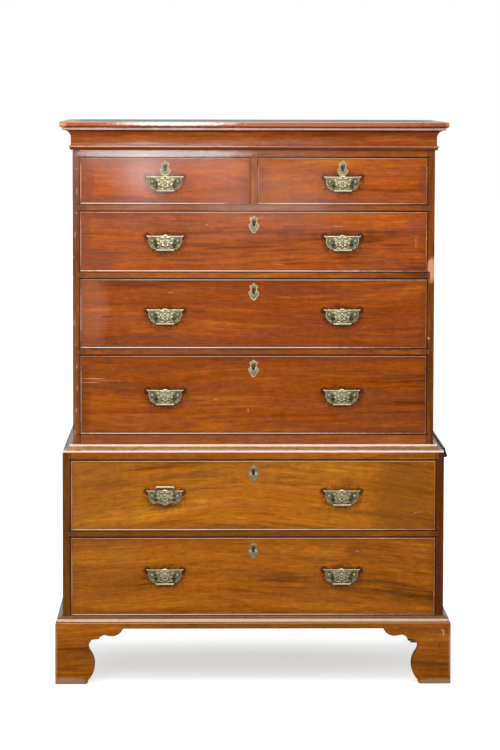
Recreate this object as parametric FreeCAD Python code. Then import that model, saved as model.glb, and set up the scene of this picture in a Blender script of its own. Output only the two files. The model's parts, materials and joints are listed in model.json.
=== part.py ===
import FreeCAD, Part
import math
import os

from FreeCAD import Vector

# A chest on chest: a lower chest of two long drawers on scroll bracket feet, and an upper chest of two short
# and three long drawers that lifts off it. +Z is up, the drawers face -Y, and the origin is on the floor
# under the middle of the whole. Millimetres.

os.makedirs("parts", exist_ok=True)

# ---------------------------------------------------------------------------------------------------------
# Driving dimensions
# ---------------------------------------------------------------------------------------------------------

# The two cases
lower_width = 1060.0
lower_depth = 548.0
waist_ledge = 28.0  # the lower case stands out this far beyond the upper one, at the front and the sides
lower_side_thickness = 23.0
upper_side_thickness = 20.0
carcase_board = 20.0  # top and bottom boards
seat_gap = 0.2  # between the two cases where the upper one rests

# Drawer openings, from the bottom up, and the rails between them
lower_openings = [218.5, 196.0]
upper_openings = [220.0, 193.5, 167.5, 129.5]
rail_height = 20.0
rail_depth = 60.0
rail_housing = 8.0  # how far a rail's ends are let into the sides
lower_top_rail = 21.5
upper_base_rail = 48.0
upper_frieze = 98.5
upper_front_board = 22.0  # thickness of the base rail and the frieze
muntin_width = 20.0

# Runners, dustboards, drawer stops and backs
runner_width = 42.0
runner_housing = 6.0
guide_height = 14.0
dustboard_thickness = 7.0
dustboard_tongue = 6.0
stop_length = 45.0
stop_depth = 22.0
stop_height = 4.5
stop_inset = 120.0  # from the side of the opening to the near end of a stop
stop_gap = 0.3
kicker_height = 20.0  # strips over the short drawers' sides, which keep them from tipping
back_thickness = 9.0
back_rebate = 10.0
back_board_gap = 0.8
lower_back_boards = 5
upper_back_boards = 5

# Carcase dovetails
case_tails = 3
case_tail_lap = 6.0
dovetail_slope = 1.0 / 6.0
dovetail_share = 0.5  # a tail's root as a share of the pitch

# Feet and base. Reaches are from the outer corner of a foot, drops from its top
foot_height = 170.0
foot_projection = 20.0
bracket_thickness = 28.0
bracket_reach = 188.0
pad_width = 82.0
belly_reach = 113.0
belly_height = 50.0
belly_swell = 0.7  # the point its curve passes through: this share of the way out from the pad
belly_swell_rise = 0.38  # at this share of its height
neck_reach = 92.0
neck_drop = 64.0
heel_reach = 108.0
nose_reach = 125.0
nose_drop = 46.0
cove_reach = 145.0
cove_drop = 32.5
wing_round = 26.0
wing_turn = 0.27  # where that round turns most, as a share of it from its end
apron_height = 14.0
rear_bracket_reach = 120.0
rear_bracket_foot = 60.0
rear_bracket_drop = 40.0
rear_bracket_thickness = 22.0
corner_block = 42.0
corner_block_lift = 4.0
rail_block = 24.0  # from front to back
rail_block_height = 12.0  # less than the apron that hides it
rail_block_length = 90.0

# Mouldings. Sections are drawn as (outward, up) from the case; a fillet is a narrow flat between two curves
curve_facets = 7  # flats along each curve of a moulding or a bracket
base_moulding_height = 20.0
base_moulding_reach = 19.0
base_edge = 3.5  # its upright edge
base_ovolo = 13.0
base_fillet = 2.5
waist_moulding_height = 20.0
waist_clearance = 1.0
waist_edge = 4.2
waist_fillet = 3.5
waist_bead_height = 5.0
waist_bead_reach = 9.0
waist_bead_arris = 5.0 / 3  # cut off its upper corner
cornice_height = 78.5
cornice_reach = 36.5
cornice_bead_height = 13.0
cornice_bead_reach = 9.0
cornice_bead_fullest = 0.7  # share of its height at which it stands out most
cornice_bead_fall = 1.625  # how far it falls back above and below that
cornice_neck = 4.8
cornice_cove = 20.6
cornice_fillet_height = 7.5
cornice_fillet_step = 2.5
cornice_top_height = 15.5
cornice_top_round = 6.0
strip_height = 28.0
strip_reach = 12.5
strip_lip = 5.0
strip_edge = 5.0
strip_rise = 9.0  # how far the strip stands above the top of the lower case
strip_setback = 26.0

# Drawers
drawer_side_gap = 1.0
drawer_top_gap = 1.6
drawer_run_gap = 0.3
drawer_rear_gap = 16.0
front_thickness = 20.0
box_side = 9.5
box_back = 9.5
box_bottom = 7.0
bottom_lift = 6.0
bottom_groove = 4.0
box_side_drop = 4.0  # the sides stop below the top of the front
box_back_drop = 5.0  # and the back below the top of the sides
front_lap = 6.0
tail_pitch = 75.0
cockbead_width = 3.0
cockbead_depth = 6.0
cockbead_proud = 1.8
cockbead_crown = 0.8

# Locks and escutcheons
lock_width = 60.0
lock_height = 36.0
lock_depth = 11.5
keyhole_radius = 3.2
keyhole_slot = 3.4
keyhole_length = 12.0
escutcheon_thickness = 1.0
escutcheon_height = 50.8
escutcheon_half_width = 17.5  # at its lobes
escutcheon_lobe_drop = 30.5
escutcheon_lobe_round = 5.0
escutcheon_ear = 13.2
escutcheon_ear_drop = 10.5
escutcheon_ear_round = 2.5
escutcheon_neck = 10.2
escutcheon_neck_drop = 19.0
escutcheon_hip = 12.2
escutcheon_hip_drop = 37.5
escutcheon_tail = 7.2
escutcheon_tail_drop = 44.0
escutcheon_keyhole = 19.4  # from its top to the middle of the round of the keyhole
long_keyhole_drop = 29.5  # from the top of the opening to the same point
short_keyhole_drop = 26.8
escutcheon_trim = 0.5

# Handles. Lifts are from the middle of the front, from the bottom row up
lower_handle_lifts = [6.0, 0.0]
upper_handle_lifts = [0.0, -2.0, 2.5, -1.5]
plate_thickness = 1.2
plate_top = 13.0
plate_crest = 17.0
plate_crest_half = 10.0
plate_ear = 47.0
plate_waist = 44.5
plate_waist_rise = 6.5
plate_hip = 42.0
plate_hip_drop = 12.0
plate_heel = 32.5
plate_foot = 22.0
plate_nub = 30.0
plate_nub_reach = 15.0
plate_nub_neck = 6.6
plate_nub_neck_drop = 26.0
post_spacing = 71.0
boss_radius = 6.0
boss_length = 13.0
boss_chamfer = 2.2
boss_sides = 8
pivot_standoff = 9.5
pin_radius = 1.4
pin_clearance = 0.06
pin_sides = 6
pin_length = 4.0
pin_end_gap = 0.6
bail_width = 54.0
bail_leg = 4.0
bail_bar = 5.4
bail_thickness = 4.0
bail_drop = 25.2
bail_corner = 4.5
bail_hook = 3.4
small_facets = 2  # flats round a quarter turn of a small brass bend
bail_shoulder_gap = 0.7
shank_side = 4.4
shank_clearance = 0.2
shank_tail = 4.0  # inside the drawer
bail_rest_up = 196.0  # the turn from hanging to lying back against the drawer above its plate

# ---------------------------------------------------------------------------------------------------------
# Levels and planes that follow from them
# ---------------------------------------------------------------------------------------------------------

upper_width = lower_width - 2 * waist_ledge
upper_depth = lower_depth - waist_ledge

back = (lower_depth + foot_projection) / 2
lower_front = back - lower_depth
upper_front = back - upper_depth
back_inside = back - back_thickness

lower_bottom = foot_height
lower_floor = lower_bottom + carcase_board
lower_top = lower_floor + sum(lower_openings) + rail_height * (len(lower_openings) - 1) + lower_top_rail
upper_bottom = lower_top + seat_gap
upper_floor = upper_bottom + upper_base_rail
upper_top = upper_floor + sum(upper_openings) + rail_height * (len(upper_openings) - 1) + upper_frieze

lower_inside = lower_width / 2 - lower_side_thickness
upper_inside = upper_width / 2 - upper_side_thickness
handle_x = (upper_inside + muntin_width / 2) / 2

# ---------------------------------------------------------------------------------------------------------
# Small tools of the bench
# ---------------------------------------------------------------------------------------------------------


def box(x0, x1, y0, y1, z0, z1):
    """A board between two corners."""
    return Part.makeBox(x1 - x0, y1 - y0, z1 - z0, Vector(x0, y0, z0))


def joined(shapes):
    """One solid from pieces that overlap or share faces."""
    return shapes[0].multiFuse(shapes[1:]).removeSplitter()


def less(shape, tools):
    """The shape with every tool cut out of it."""
    return shape.cut(tools) if tools else shape


def outline(start, steps):
    """The corners of a closed figure. A step of two numbers is a straight line to that point, and one of four
    is a curve through the first pair to the second: a round arc, drawn in equal flats."""
    corners = [start]
    for step in steps:
        if len(step) == 4:
            ends = [Vector(*corners[-1], 0), Vector(*step[:2], 0), Vector(*step[2:], 0)]
            arc = Part.Arc(*ends)
            corners += [(point.x, point.y) for point in arc.discretize(curve_facets + 1)[1:-1]]
        corners.append(step[-2:])
    return corners


def prism(corners, through):
    """A straight-sided solid on a polygon."""
    return Part.Face(Part.makePolygon(corners + corners[:1])).extrude(through)


def symmetric(half):
    """The corners of a figure that is the same on both sides of its upright axis, from its right half, whose
    first and last corners lie on the axis."""
    return half + [(-a, b) for a, b in reversed(half[1:-1])]


def bend(centre, radius, start, end, facets):
    """Corners along a small round bend, from one angle to another in degrees."""
    corners = []
    for k in range(facets + 1):
        angle = math.radians(start + (end - start) * k / facets)
        corners.append((centre[0] + radius * math.cos(angle), centre[1] + radius * math.sin(angle)))
    return corners


def faceted_ring(inradius, sides):
    """The corners of a regular figure with a flat side towards the first axis."""
    half_side = 180 / sides
    radius = inradius / math.cos(math.radians(half_side))
    return bend((0, 0), radius, half_side, 360 - half_side, sides - 1)


def through_rings(rings):
    """A solid whose flat sides join rings of corners, one after another, with a flat cap at both ends."""
    faces = [Part.Face(Part.makePolygon(ring + ring[:1])) for ring in (rings[0], rings[-1])]
    for near, far in zip(rings, rings[1:]):
        for k in range(len(near)):
            faces.append(Part.Face(Part.makePolygon([near[k - 1], near[k], far[k], far[k - 1], near[k - 1]])))
    return Part.Solid(Part.Shell(faces))


def tail_row(place, through, root, tip, low, high, count):
    """A row of dovetails between low and high, each wider at its tip than at its root."""
    pitch = (high - low) / count
    flare = abs(tip - root) * dovetail_slope
    half = pitch * dovetail_share / 2
    tails = []
    for k in range(count):
        middle = low + (k + 0.5) * pitch
        corners = [
            place(root, middle - half),
            place(tip, middle - half - flare),
            place(tip, middle + half + flare),
            place(root, middle + half),
        ]
        tails.append(prism(corners, through))
    return tails


def export(name, shapes):
    """Writes one node, whose separate pieces stay separate solids."""
    Part.makeCompound(shapes).exportStep("parts/" + name + ".step")


# ---------------------------------------------------------------------------------------------------------
# Carcases: boards lap-dovetailed into the sides, rails and runners let into them, backs in rebates
# ---------------------------------------------------------------------------------------------------------


def case_board(inside, side_thickness, front, z0):
    """A top or bottom board with the tails at its two ends."""
    board = box(-inside, inside, front, back_inside, z0, z0 + carcase_board)
    reach = side_thickness - case_tail_lap
    tails = []
    for side in (-1, 1):
        tails += tail_row(
            lambda depth, along: Vector(side * depth, along, z0),
            Vector(0, 0, carcase_board),
            inside,
            inside + reach,
            front,
            back_inside,
            case_tails,
        )
    return joined([board] + tails)


def case_side(side, width, side_thickness, front, z0, z1, let_in):
    """A side board, with the back's rebate and a housing for everything that is let into it."""
    inner = width / 2 - side_thickness
    across = sorted((side * inner, side * width / 2))
    board = box(*across, front, back, z0, z1)
    rebate = sorted((side * inner, side * (inner + back_rebate)))
    return less(board, [box(*rebate, back_inside, back, z0, z1)] + let_in)


def back_of(inside, z0, z1, count):
    """Thin upright boards across the back."""
    whole = 2 * (inside + back_rebate)
    pitch = whole / count
    boards = []
    for k in range(count):
        left = -whole / 2 + k * pitch
        right = left + pitch - (back_board_gap if k < count - 1 else 0)
        boards.append(box(left, right, back_inside, back, z0, z1))
    return boards


def rail(inside, front, z0):
    """A drawer rail, grooved behind for the dustboard."""
    whole = box(-inside - rail_housing, inside + rail_housing, front, front + rail_depth, z0, z0 + rail_height)
    return less(whole, [dust_panel(inside, front, z0)])


def dust_panel(inside, front, z0):
    """The thin board between the runners of one rail, held in grooves all round."""
    low = z0 + (rail_height - dustboard_thickness) / 2
    edge = inside - runner_width + dustboard_tongue
    return box(-edge, edge, front + rail_depth - dustboard_tongue, back_inside, low, low + dustboard_thickness)


def runner_pair(inside, front, z0, height, grooved):
    """The two runners behind a rail, let into the sides."""
    runners = []
    for side in (-1, 1):
        across = sorted((side * (inside - runner_width), side * (inside + runner_housing)))
        runner = box(*across, front, back_inside, z0, z0 + height)
        runners.append(less(runner, grooved))
    return runners


def stops(x0, x1, front, z0):
    """Two small blocks glued to the rail, which the drawer front comes up against."""
    near = front + front_thickness + stop_gap
    blocks = []
    for left in (x0 + stop_inset, x1 - stop_inset - stop_length):
        blocks.append(box(left, left + stop_length, near, near + stop_depth, z0, z0 + stop_height))
    return blocks


def floors(bottom, openings):
    """The level of the bottom of each opening, from the lowest up."""
    levels = []
    level = bottom
    for height in openings:
        levels.append(level)
        level += height + rail_height
    return levels


lower_floors = floors(lower_floor, lower_openings)
upper_floors = floors(upper_floor, upper_openings)

# Lower chest
lower_bottom_board = case_board(lower_inside, lower_side_thickness, lower_front, lower_bottom)
lower_top_board = case_board(
    lower_inside, lower_side_thickness, lower_front + rail_depth, lower_top - carcase_board
)
lower_top_front = box(
    -lower_inside - rail_housing,
    lower_inside + rail_housing,
    lower_front,
    lower_front + rail_depth,
    lower_top - lower_top_rail,
    lower_top,
)
lower_rails = [rail(lower_inside, lower_front, level - rail_height) for level in lower_floors[1:]]
lower_runners = []
lower_dustboards = []
for level in lower_floors[1:]:
    panel = dust_panel(lower_inside, lower_front, level - rail_height)
    lower_dustboards.append(panel)
    lower_runners += runner_pair(
        lower_inside, lower_front + rail_depth, level - rail_height, rail_height, [panel]
    )
lower_stops = []
for level in lower_floors:
    lower_stops += stops(-lower_inside, lower_inside, lower_front, level)

lower_let_in = [lower_bottom_board, lower_top_board, lower_top_front] + lower_rails + lower_runners
for word, side in (("left", -1), ("right", 1)):
    export(
        "lower_side_" + word,
        [case_side(side, lower_width, lower_side_thickness, lower_front, lower_bottom, lower_top, lower_let_in)],
    )
export("lower_bottom_board", [lower_bottom_board])
export("lower_top_boards", [lower_top_board])
export("lower_back_boards", back_of(lower_inside, lower_bottom, lower_top, lower_back_boards))
export("lower_drawer_rails", [lower_top_front] + lower_rails + lower_stops)
export("lower_drawer_runners", lower_runners)
export("lower_dustboard", lower_dustboards)

# Upper chest
upper_bottom_board = case_board(
    upper_inside, upper_side_thickness, upper_front + upper_front_board, upper_bottom
)
upper_top_board = case_board(
    upper_inside, upper_side_thickness, upper_front + upper_front_board, upper_top - carcase_board
)
base_rail = box(
    -upper_inside - rail_housing,
    upper_inside + rail_housing,
    upper_front,
    upper_front + upper_front_board,
    upper_bottom,
    upper_floor,
)
frieze = box(
    -upper_inside - rail_housing,
    upper_inside + rail_housing,
    upper_front,
    upper_front + upper_front_board,
    upper_top - upper_frieze,
    upper_top,
)
upper_rails = [rail(upper_inside, upper_front, level - rail_height) for level in upper_floors[1:]]
short_floor = upper_floors[-1]
short_top = short_floor + upper_openings[-1]
upper_muntin = box(
    -muntin_width / 2, muntin_width / 2, upper_front, upper_front + rail_depth, short_floor, short_top
)

upper_dustboards = []
upper_runners = []
for level in upper_floors[1:]:
    panel = dust_panel(upper_inside, upper_front, level - rail_height)
    upper_dustboards.append(panel)
    upper_runners += runner_pair(
        upper_inside, upper_front + rail_depth, level - rail_height, rail_height, [panel]
    )
behind_board = upper_front + upper_front_board
stop_rail = box(
    -upper_inside - rail_housing,
    upper_inside + rail_housing,
    behind_board,
    upper_front + rail_depth,
    upper_floor - rail_height,
    upper_floor,
)
base_runner_foot = upper_bottom + carcase_board
lowest_runners = runner_pair(
    upper_inside, upper_front + rail_depth, base_runner_foot, upper_floor - base_runner_foot, []
)
kickers = runner_pair(upper_inside, behind_board, short_top, kicker_height, [])
middle_guide = box(
    -muntin_width / 2,
    muntin_width / 2,
    upper_front + rail_depth,
    back_inside,
    short_floor,
    short_floor + guide_height,
)
middle_runner = box(
    -runner_width,
    runner_width,
    upper_front + rail_depth,
    back_inside,
    upper_dustboards[-1].BoundBox.ZMax,
    short_floor,
)

upper_stops = []
for level in upper_floors[:-1]:
    upper_stops += stops(-upper_inside, upper_inside, upper_front, level)
for x0, x1 in ((-upper_inside, -muntin_width / 2), (muntin_width / 2, upper_inside)):
    upper_stops += stops(x0, x1, upper_front, short_floor)

upper_side_fittings = [upper_bottom_board, upper_top_board, base_rail, stop_rail, frieze]
upper_let_in = upper_side_fittings + upper_rails + upper_runners + lowest_runners + kickers
for word, side in (("left", -1), ("right", 1)):
    export(
        "upper_side_" + word,
        [case_side(side, upper_width, upper_side_thickness, upper_front, upper_bottom, upper_top, upper_let_in)],
    )
export("upper_bottom_board", [upper_bottom_board])
export("upper_top_board", [upper_top_board])
export("upper_back_boards", back_of(upper_inside, upper_bottom, upper_top, upper_back_boards))
export("upper_drawer_rails", [base_rail, stop_rail, frieze] + upper_rails + upper_stops)
export("upper_muntin", [upper_muntin])
export("upper_drawer_runners", upper_runners + lowest_runners + kickers + [middle_guide, middle_runner])
export("upper_dustboards", upper_dustboards)

# ---------------------------------------------------------------------------------------------------------
# Mouldings: each in three lengths, mitred at the two front corners
# ---------------------------------------------------------------------------------------------------------


def mitred_lengths(half_width, front, reach, z0, section):
    """The left, front and right lengths of a moulding, from its section."""
    wide = half_width + reach
    run = Vector(0, front - reach - back, 0)
    left_plan = [(-half_width, front), (-wide, front - reach), (-wide, back), (-half_width, back)]
    front_plan = [(-half_width, front), (-wide, front - reach), (wide, front - reach), (half_width, front)]
    right_plan = [(-x, y) for x, y in left_plan]
    height = Vector(0, 0, max(up for out, up in section))
    lengths = []
    for plan, corners, along in (
        (left_plan, [Vector(-half_width - out, back, z0 + up) for out, up in section], run),
        (front_plan, [Vector(-wide, front - out, z0 + up) for out, up in section], Vector(2 * wide, 0, 0)),
        (right_plan, [Vector(half_width + out, back, z0 + up) for out, up in section], run),
    ):
        ground = prism([Vector(x, y, z0) for x, y in plan], height)
        lengths.append(prism(corners, along).common(ground))
    return lengths


round_share = 1 - math.sqrt(0.5)  # how far in from its corner the middle of a quarter round lies

# Base moulding: an upright edge, an ovolo and a fillet above it
ovolo_foot = base_moulding_height - base_fillet - base_ovolo
ovolo_top = base_moulding_height - base_fillet
base_fillet_reach = base_moulding_reach - base_ovolo - base_fillet
ovolo_reach = base_moulding_reach - base_fillet / 2
base_section = outline(
    (0, 0),
    [
        (base_moulding_reach, 0),
        (base_moulding_reach, base_edge),
        (ovolo_reach, ovolo_foot),
        (
            ovolo_reach - base_ovolo * round_share,
            ovolo_top - base_ovolo * round_share,
            ovolo_reach - base_ovolo,
            ovolo_top,
        ),
        (base_fillet_reach, ovolo_top),
        (base_fillet_reach, base_moulding_height),
        (0, base_moulding_height),
    ],
)
export(
    "base_moulding",
    mitred_lengths(lower_width / 2, lower_front, base_moulding_reach, lower_bottom, base_section),
)

# Waist moulding: an upright edge, a fillet, a cove and a bead against the upper case
waist_reach = waist_ledge - waist_clearance
waist_cove_reach = waist_reach - waist_fillet - waist_bead_reach
waist_bead_foot = waist_moulding_height - waist_bead_height
waist_section = outline(
    (0, 0),
    [
        (waist_reach, 0),
        (waist_reach, waist_edge),
        (waist_reach - waist_fillet, waist_edge),
        (
            waist_bead_reach + waist_cove_reach * round_share,
            waist_edge + (waist_bead_foot - waist_edge) * round_share,
            waist_bead_reach,
            waist_bead_foot,
        ),
        (waist_bead_reach, waist_moulding_height - waist_bead_arris),
        (waist_bead_reach - waist_bead_arris, waist_moulding_height),
        (0, waist_moulding_height),
    ],
)
export(
    "waist_moulding",
    mitred_lengths(
        upper_width / 2 + waist_clearance, upper_front - waist_clearance, waist_reach, lower_top, waist_section
    ),
)

# The plain strip on the right-hand side of the waist: its outer face leans out towards a sloping underside
strip_foot = lower_top + strip_rise - strip_height
strip_section = outline(
    (0, 0),
    [
        (strip_reach, strip_edge),
        ((strip_reach + strip_lip) / 2, strip_height / 2, strip_lip, strip_height),
        (0, strip_height),
    ],
)
waist_strip = prism(
    [Vector(lower_width / 2 + out, back, strip_foot + up) for out, up in strip_section],
    Vector(0, lower_front + strip_setback - back, 0),
)
export("waist_side_strip", [waist_strip])

# Cornice: a bead, a plain neck, a cove, a fillet and a rounded top member
top_member_foot = cornice_height - cornice_top_height
cove_top = top_member_foot - cornice_fillet_height
cornice_fillet_reach = cornice_reach - cornice_top_round - cornice_fillet_step
top_round = cornice_top_round * round_share
cornice_section = outline(
    (0, 0),
    [
        (cornice_bead_reach - cornice_bead_fall, cornice_bead_height / 2),
        (cornice_bead_reach, cornice_bead_height * cornice_bead_fullest),
        (cornice_bead_reach - cornice_bead_fall, cornice_bead_height),
        (cornice_neck, cornice_bead_height),
        (cornice_neck, cove_top - cornice_cove),
        (
            cornice_neck + cornice_cove * round_share,
            cove_top - cornice_cove * round_share,
            cornice_neck + cornice_cove,
            cove_top,
        ),
        (cornice_fillet_reach, cove_top),
        (cornice_fillet_reach, top_member_foot),
        (cornice_reach - cornice_top_round, top_member_foot),
        (
            cornice_reach - top_round,
            top_member_foot + top_round,
            cornice_reach,
            top_member_foot + cornice_top_round,
        ),
        (cornice_reach, cornice_height - cornice_top_round / 2),
        (cornice_reach - cornice_top_round / 2, cornice_height),
        (0, cornice_height),
    ],
)
export(
    "cornice",
    mitred_lengths(
        upper_width / 2, upper_front, cornice_reach, upper_top - cornice_height, cornice_section
    ),
)

# ---------------------------------------------------------------------------------------------------------
# Feet: scroll-cut brackets mitred at the front corners, with glue blocks behind them
# ---------------------------------------------------------------------------------------------------------

foot_side = lower_width / 2 + foot_projection
foot_front = lower_front - foot_projection


def scroll_bracket(place, through):
    """A bracket drawn as (inward from the corner, up): pad, belly, neck, heel, nose, cove and wing."""
    neck = foot_height - neck_drop
    nose = foot_height - nose_drop
    cove = foot_height - cove_drop
    lobe = (belly_reach - neck_reach) / 5
    corners = outline(
        (0, 0),
        [
            (pad_width, 0),
            (
                pad_width + (belly_reach - pad_width) * belly_swell,
                belly_height * belly_swell_rise,
                belly_reach,
                belly_height,
            ),
            ((belly_reach + neck_reach) / 2 + lobe, (belly_height + neck) / 2, neck_reach, neck),
            (neck_reach + lobe, (neck + nose) / 2 + lobe / 2, heel_reach, nose),
            (nose_reach, nose),
            (nose_reach + lobe, cove - lobe, cove_reach, cove),
            (bracket_reach - wing_round, cove - lobe / 2),
            (
                bracket_reach - wing_round * wing_turn,
                cove + lobe,
                bracket_reach,
                foot_height - apron_height,
            ),
            (bracket_reach, foot_height),
            (0, foot_height),
        ],
    )
    return prism([place(*corner) for corner in corners], through)


def front_foot(side):
    """Front and side brackets, mitred together at the corner."""
    facing = scroll_bracket(
        lambda inward, up: Vector(side * (foot_side - inward), foot_front, up),
        Vector(0, bracket_thickness, 0),
    )
    flank = scroll_bracket(
        lambda inward, up: Vector(side * foot_side, foot_front + inward, up),
        Vector(-side * bracket_thickness, 0, 0),
    )
    corner = Vector(side * foot_side, foot_front, 0)
    inner = Vector(side * (foot_side - bracket_thickness), foot_front + bracket_thickness, 0)
    above = Vector(0, 0, foot_height)
    front_waste = prism([corner, inner, Vector(inner.x, foot_front, 0)], above)
    flank_waste = prism([corner, inner, Vector(corner.x, inner.y, 0)], above)
    return [facing.cut(flank_waste), flank.cut(front_waste)]


def rear_foot(side):
    """A scroll bracket on the side, and a plain slanting one let in behind it across the back."""
    flank = scroll_bracket(
        lambda inward, up: Vector(side * foot_side, back - inward, up),
        Vector(-side * bracket_thickness, 0, 0),
    )
    inner = foot_side - bracket_thickness
    plain = [
        (0, 0),
        (rear_bracket_foot, 0),
        (rear_bracket_reach, foot_height - rear_bracket_drop),
        (rear_bracket_reach, foot_height),
        (0, foot_height),
    ]
    across = prism(
        [Vector(side * (inner - inward), back, up) for inward, up in plain],
        Vector(0, -rear_bracket_thickness, 0),
    )
    return [flank, across]


for word, side in (("left", -1), ("right", 1)):
    export("foot_front_" + word, front_foot(side))
    export("foot_rear_" + word, rear_foot(side))

# Apron strips run between the brackets' wings
apron_low = foot_height - apron_height
apron = [
    box(
        bracket_reach - foot_side,
        foot_side - bracket_reach,
        foot_front,
        foot_front + bracket_thickness,
        apron_low,
        foot_height,
    )
]
for side in (-1, 1):
    across = sorted((side * foot_side, side * (foot_side - bracket_thickness)))
    apron.append(
        box(*across, foot_front + bracket_reach, back - bracket_reach, apron_low, foot_height)
    )
export("base_apron", apron)

# Glue blocks: an upright in each foot's corner, and short ones under the case behind the wings
blocks = []
inner_x = foot_side - bracket_thickness
for side in (-1, 1):
    for near, far in (
        (foot_front + bracket_thickness, foot_front + bracket_thickness + corner_block),
        (back - rear_bracket_thickness - corner_block, back - rear_bracket_thickness),
    ):
        across = sorted((side * inner_x, side * (inner_x - corner_block)))
        blocks.append(box(*across, near, far, corner_block_lift, foot_height))
    across = sorted((side * (inner_x - corner_block), side * (inner_x - corner_block - rail_block_length)))
    blocks.append(
        box(
            *across,
            foot_front + bracket_thickness,
            foot_front + bracket_thickness + rail_block,
            foot_height - rail_block_height,
            foot_height,
        )
    )
    middle = (foot_front + back) / 2
    across = sorted((side * inner_x, side * (inner_x - rail_block)))
    blocks.append(
        box(
            *across,
            middle - rail_block_length / 2,
            middle + rail_block_length / 2,
            foot_height - rail_block_height,
            foot_height,
        )
    )
blocks.append(
    box(
        -rail_block_length / 2,
        rail_block_length / 2,
        foot_front + bracket_thickness,
        foot_front + bracket_thickness + rail_block,
        foot_height - rail_block_height,
        foot_height,
    )
)
export("foot_glue_blocks", blocks)

# ---------------------------------------------------------------------------------------------------------
# Drawers: lap-dovetailed at the front, through-dovetailed at the back, cockbeaded round the front
# ---------------------------------------------------------------------------------------------------------


def cockbeads(x0, x1, face, z0, z1):
    """Four strips with crowned noses in the rebates round a drawer front, mitred at the corners."""
    nose = face - cockbead_proud
    crown = cockbead_crown
    flat = nose + crown
    heel = face + cockbead_depth
    wide = cockbead_width

    def strip(place, along, mitre):
        corners = [(0, heel), (0, flat), (crown, nose), (wide - crown, nose), (wide, flat), (wide, heel)]
        length = prism([place(*corner) for corner in corners], along)
        ground = prism([Vector(x, nose - 1, z) for x, z in mitre], Vector(0, heel - nose + 2, 0))
        return length.common(ground)

    inner = [(x0 + wide, z0 + wide), (x1 - wide, z0 + wide), (x1 - wide, z1 - wide), (x0 + wide, z1 - wide)]
    outer = [(x0, z0), (x1, z0), (x1, z1), (x0, z1)]
    return [
        strip(lambda a, y: Vector(x0, y, z0 + a), Vector(x1 - x0, 0, 0), [outer[0], outer[1], inner[1], inner[0]]),
        strip(lambda a, y: Vector(x1 - a, y, z0), Vector(0, 0, z1 - z0), [outer[1], outer[2], inner[2], inner[1]]),
        strip(lambda a, y: Vector(x0, y, z1 - a), Vector(x1 - x0, 0, 0), [outer[2], outer[3], inner[3], inner[2]]),
        strip(lambda a, y: Vector(x0 + a, y, z0), Vector(0, 0, z1 - z0), [outer[3], outer[0], inner[0], inner[3]]),
    ]


def keyhole(x, z, y0, y1):
    """A round hole with a slot below it, as a tool to cut with."""
    half = keyhole_slot / 2
    opening = math.degrees(math.asin(half / keyhole_radius))
    corners = bend((0, 0), keyhole_radius, 270 + opening, 630 - opening, small_facets * 3)
    corners += [(-half, -keyhole_length), (half, -keyhole_length)]
    return prism([Vector(x + a, y0, z + b) for a, b in corners], Vector(0, y1 - y0, 0))


def drawer_box(x0, x1, face, rear, z0, z1):
    """Sides, back and bottom, and the tails that the front is cut for."""
    side_top = z1 - box_side_drop
    back_top = side_top - box_back_drop
    shoulder = face + front_thickness
    rear_inside = rear - box_back
    bottom_low = z0 + bottom_lift
    bottom_top = bottom_low + box_bottom
    count = max(2, round((z1 - z0) / tail_pitch))
    groove = box_side - bottom_groove
    bottom = box(x0 + groove, x1 - groove, shoulder - bottom_groove, rear, bottom_low, bottom_top)
    sides = []
    tails = []
    for edge in (x0, x1 - box_side):
        place = lambda along, up: Vector(edge, along, up)
        across = Vector(box_side, 0, 0)
        front_tails = tail_row(
            place, across, shoulder, shoulder - front_thickness + front_lap, z0 + cockbead_width, side_top, count
        )
        rear_tails = tail_row(place, across, rear_inside, rear, bottom_top, back_top, count)
        body = box(edge, edge + box_side, shoulder, rear_inside, z0, side_top)
        heel = box(edge, edge + box_side, rear_inside, rear, z0, bottom_top)
        crown = box(edge, edge + box_side, rear_inside, rear, back_top, side_top)
        sides.append(joined([body, heel, crown] + front_tails + rear_tails).cut(bottom))
        tails += front_tails + rear_tails
    rear_board = less(box(x0, x1, rear_inside, rear, bottom_top, back_top), tails)
    return sides + [rear_board, bottom], tails, bottom


def drawer_front(x0, x1, face, z0, z1, tools):
    """The front board, rebated round its face for the cockbeads and cut for all that is let into it."""
    w = cockbead_width
    core = box(x0 + w, x1 - w, face, face + cockbead_depth, z0 + w, z1 - w)
    body = box(x0, x1, face + cockbead_depth, face + front_thickness, z0, z1)
    return [less(joined([core, body]), tools)] + cockbeads(x0, x1, face, z0, z1)


def escutcheon(x, face, keyhole_z, floor_z):
    """A cusped plate round the keyhole. Nothing of it goes below floor_z."""
    top = keyhole_z + escutcheon_keyhole
    w = escutcheon_half_width
    h = escutcheon_height
    half = [
        (0, 0),
        (escutcheon_ear - escutcheon_ear_round, escutcheon_ear_round - escutcheon_ear_drop),
        (escutcheon_ear, -escutcheon_ear_drop),
        (escutcheon_ear, -escutcheon_ear_drop - escutcheon_ear_round),
        (escutcheon_neck, -escutcheon_neck_drop),
        (w - escutcheon_lobe_round, escutcheon_lobe_round - escutcheon_lobe_drop),
        (w, -escutcheon_lobe_drop),
        (escutcheon_hip, -escutcheon_hip_drop),
        (escutcheon_tail, -escutcheon_tail_drop),
        (0, -h),
    ]
    plate = prism(
        [Vector(x + a, face, top + b) for a, b in symmetric(half)], Vector(0, -escutcheon_thickness, 0)
    )
    plate = plate.cut(keyhole(x, keyhole_z, face - escutcheon_thickness - 1, face + 1))
    if top - h < floor_z:
        plate = plate.cut(box(x - w, x + w, face - escutcheon_thickness - 1, face + 1, top - h - 1, floor_z))
    return plate


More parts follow.
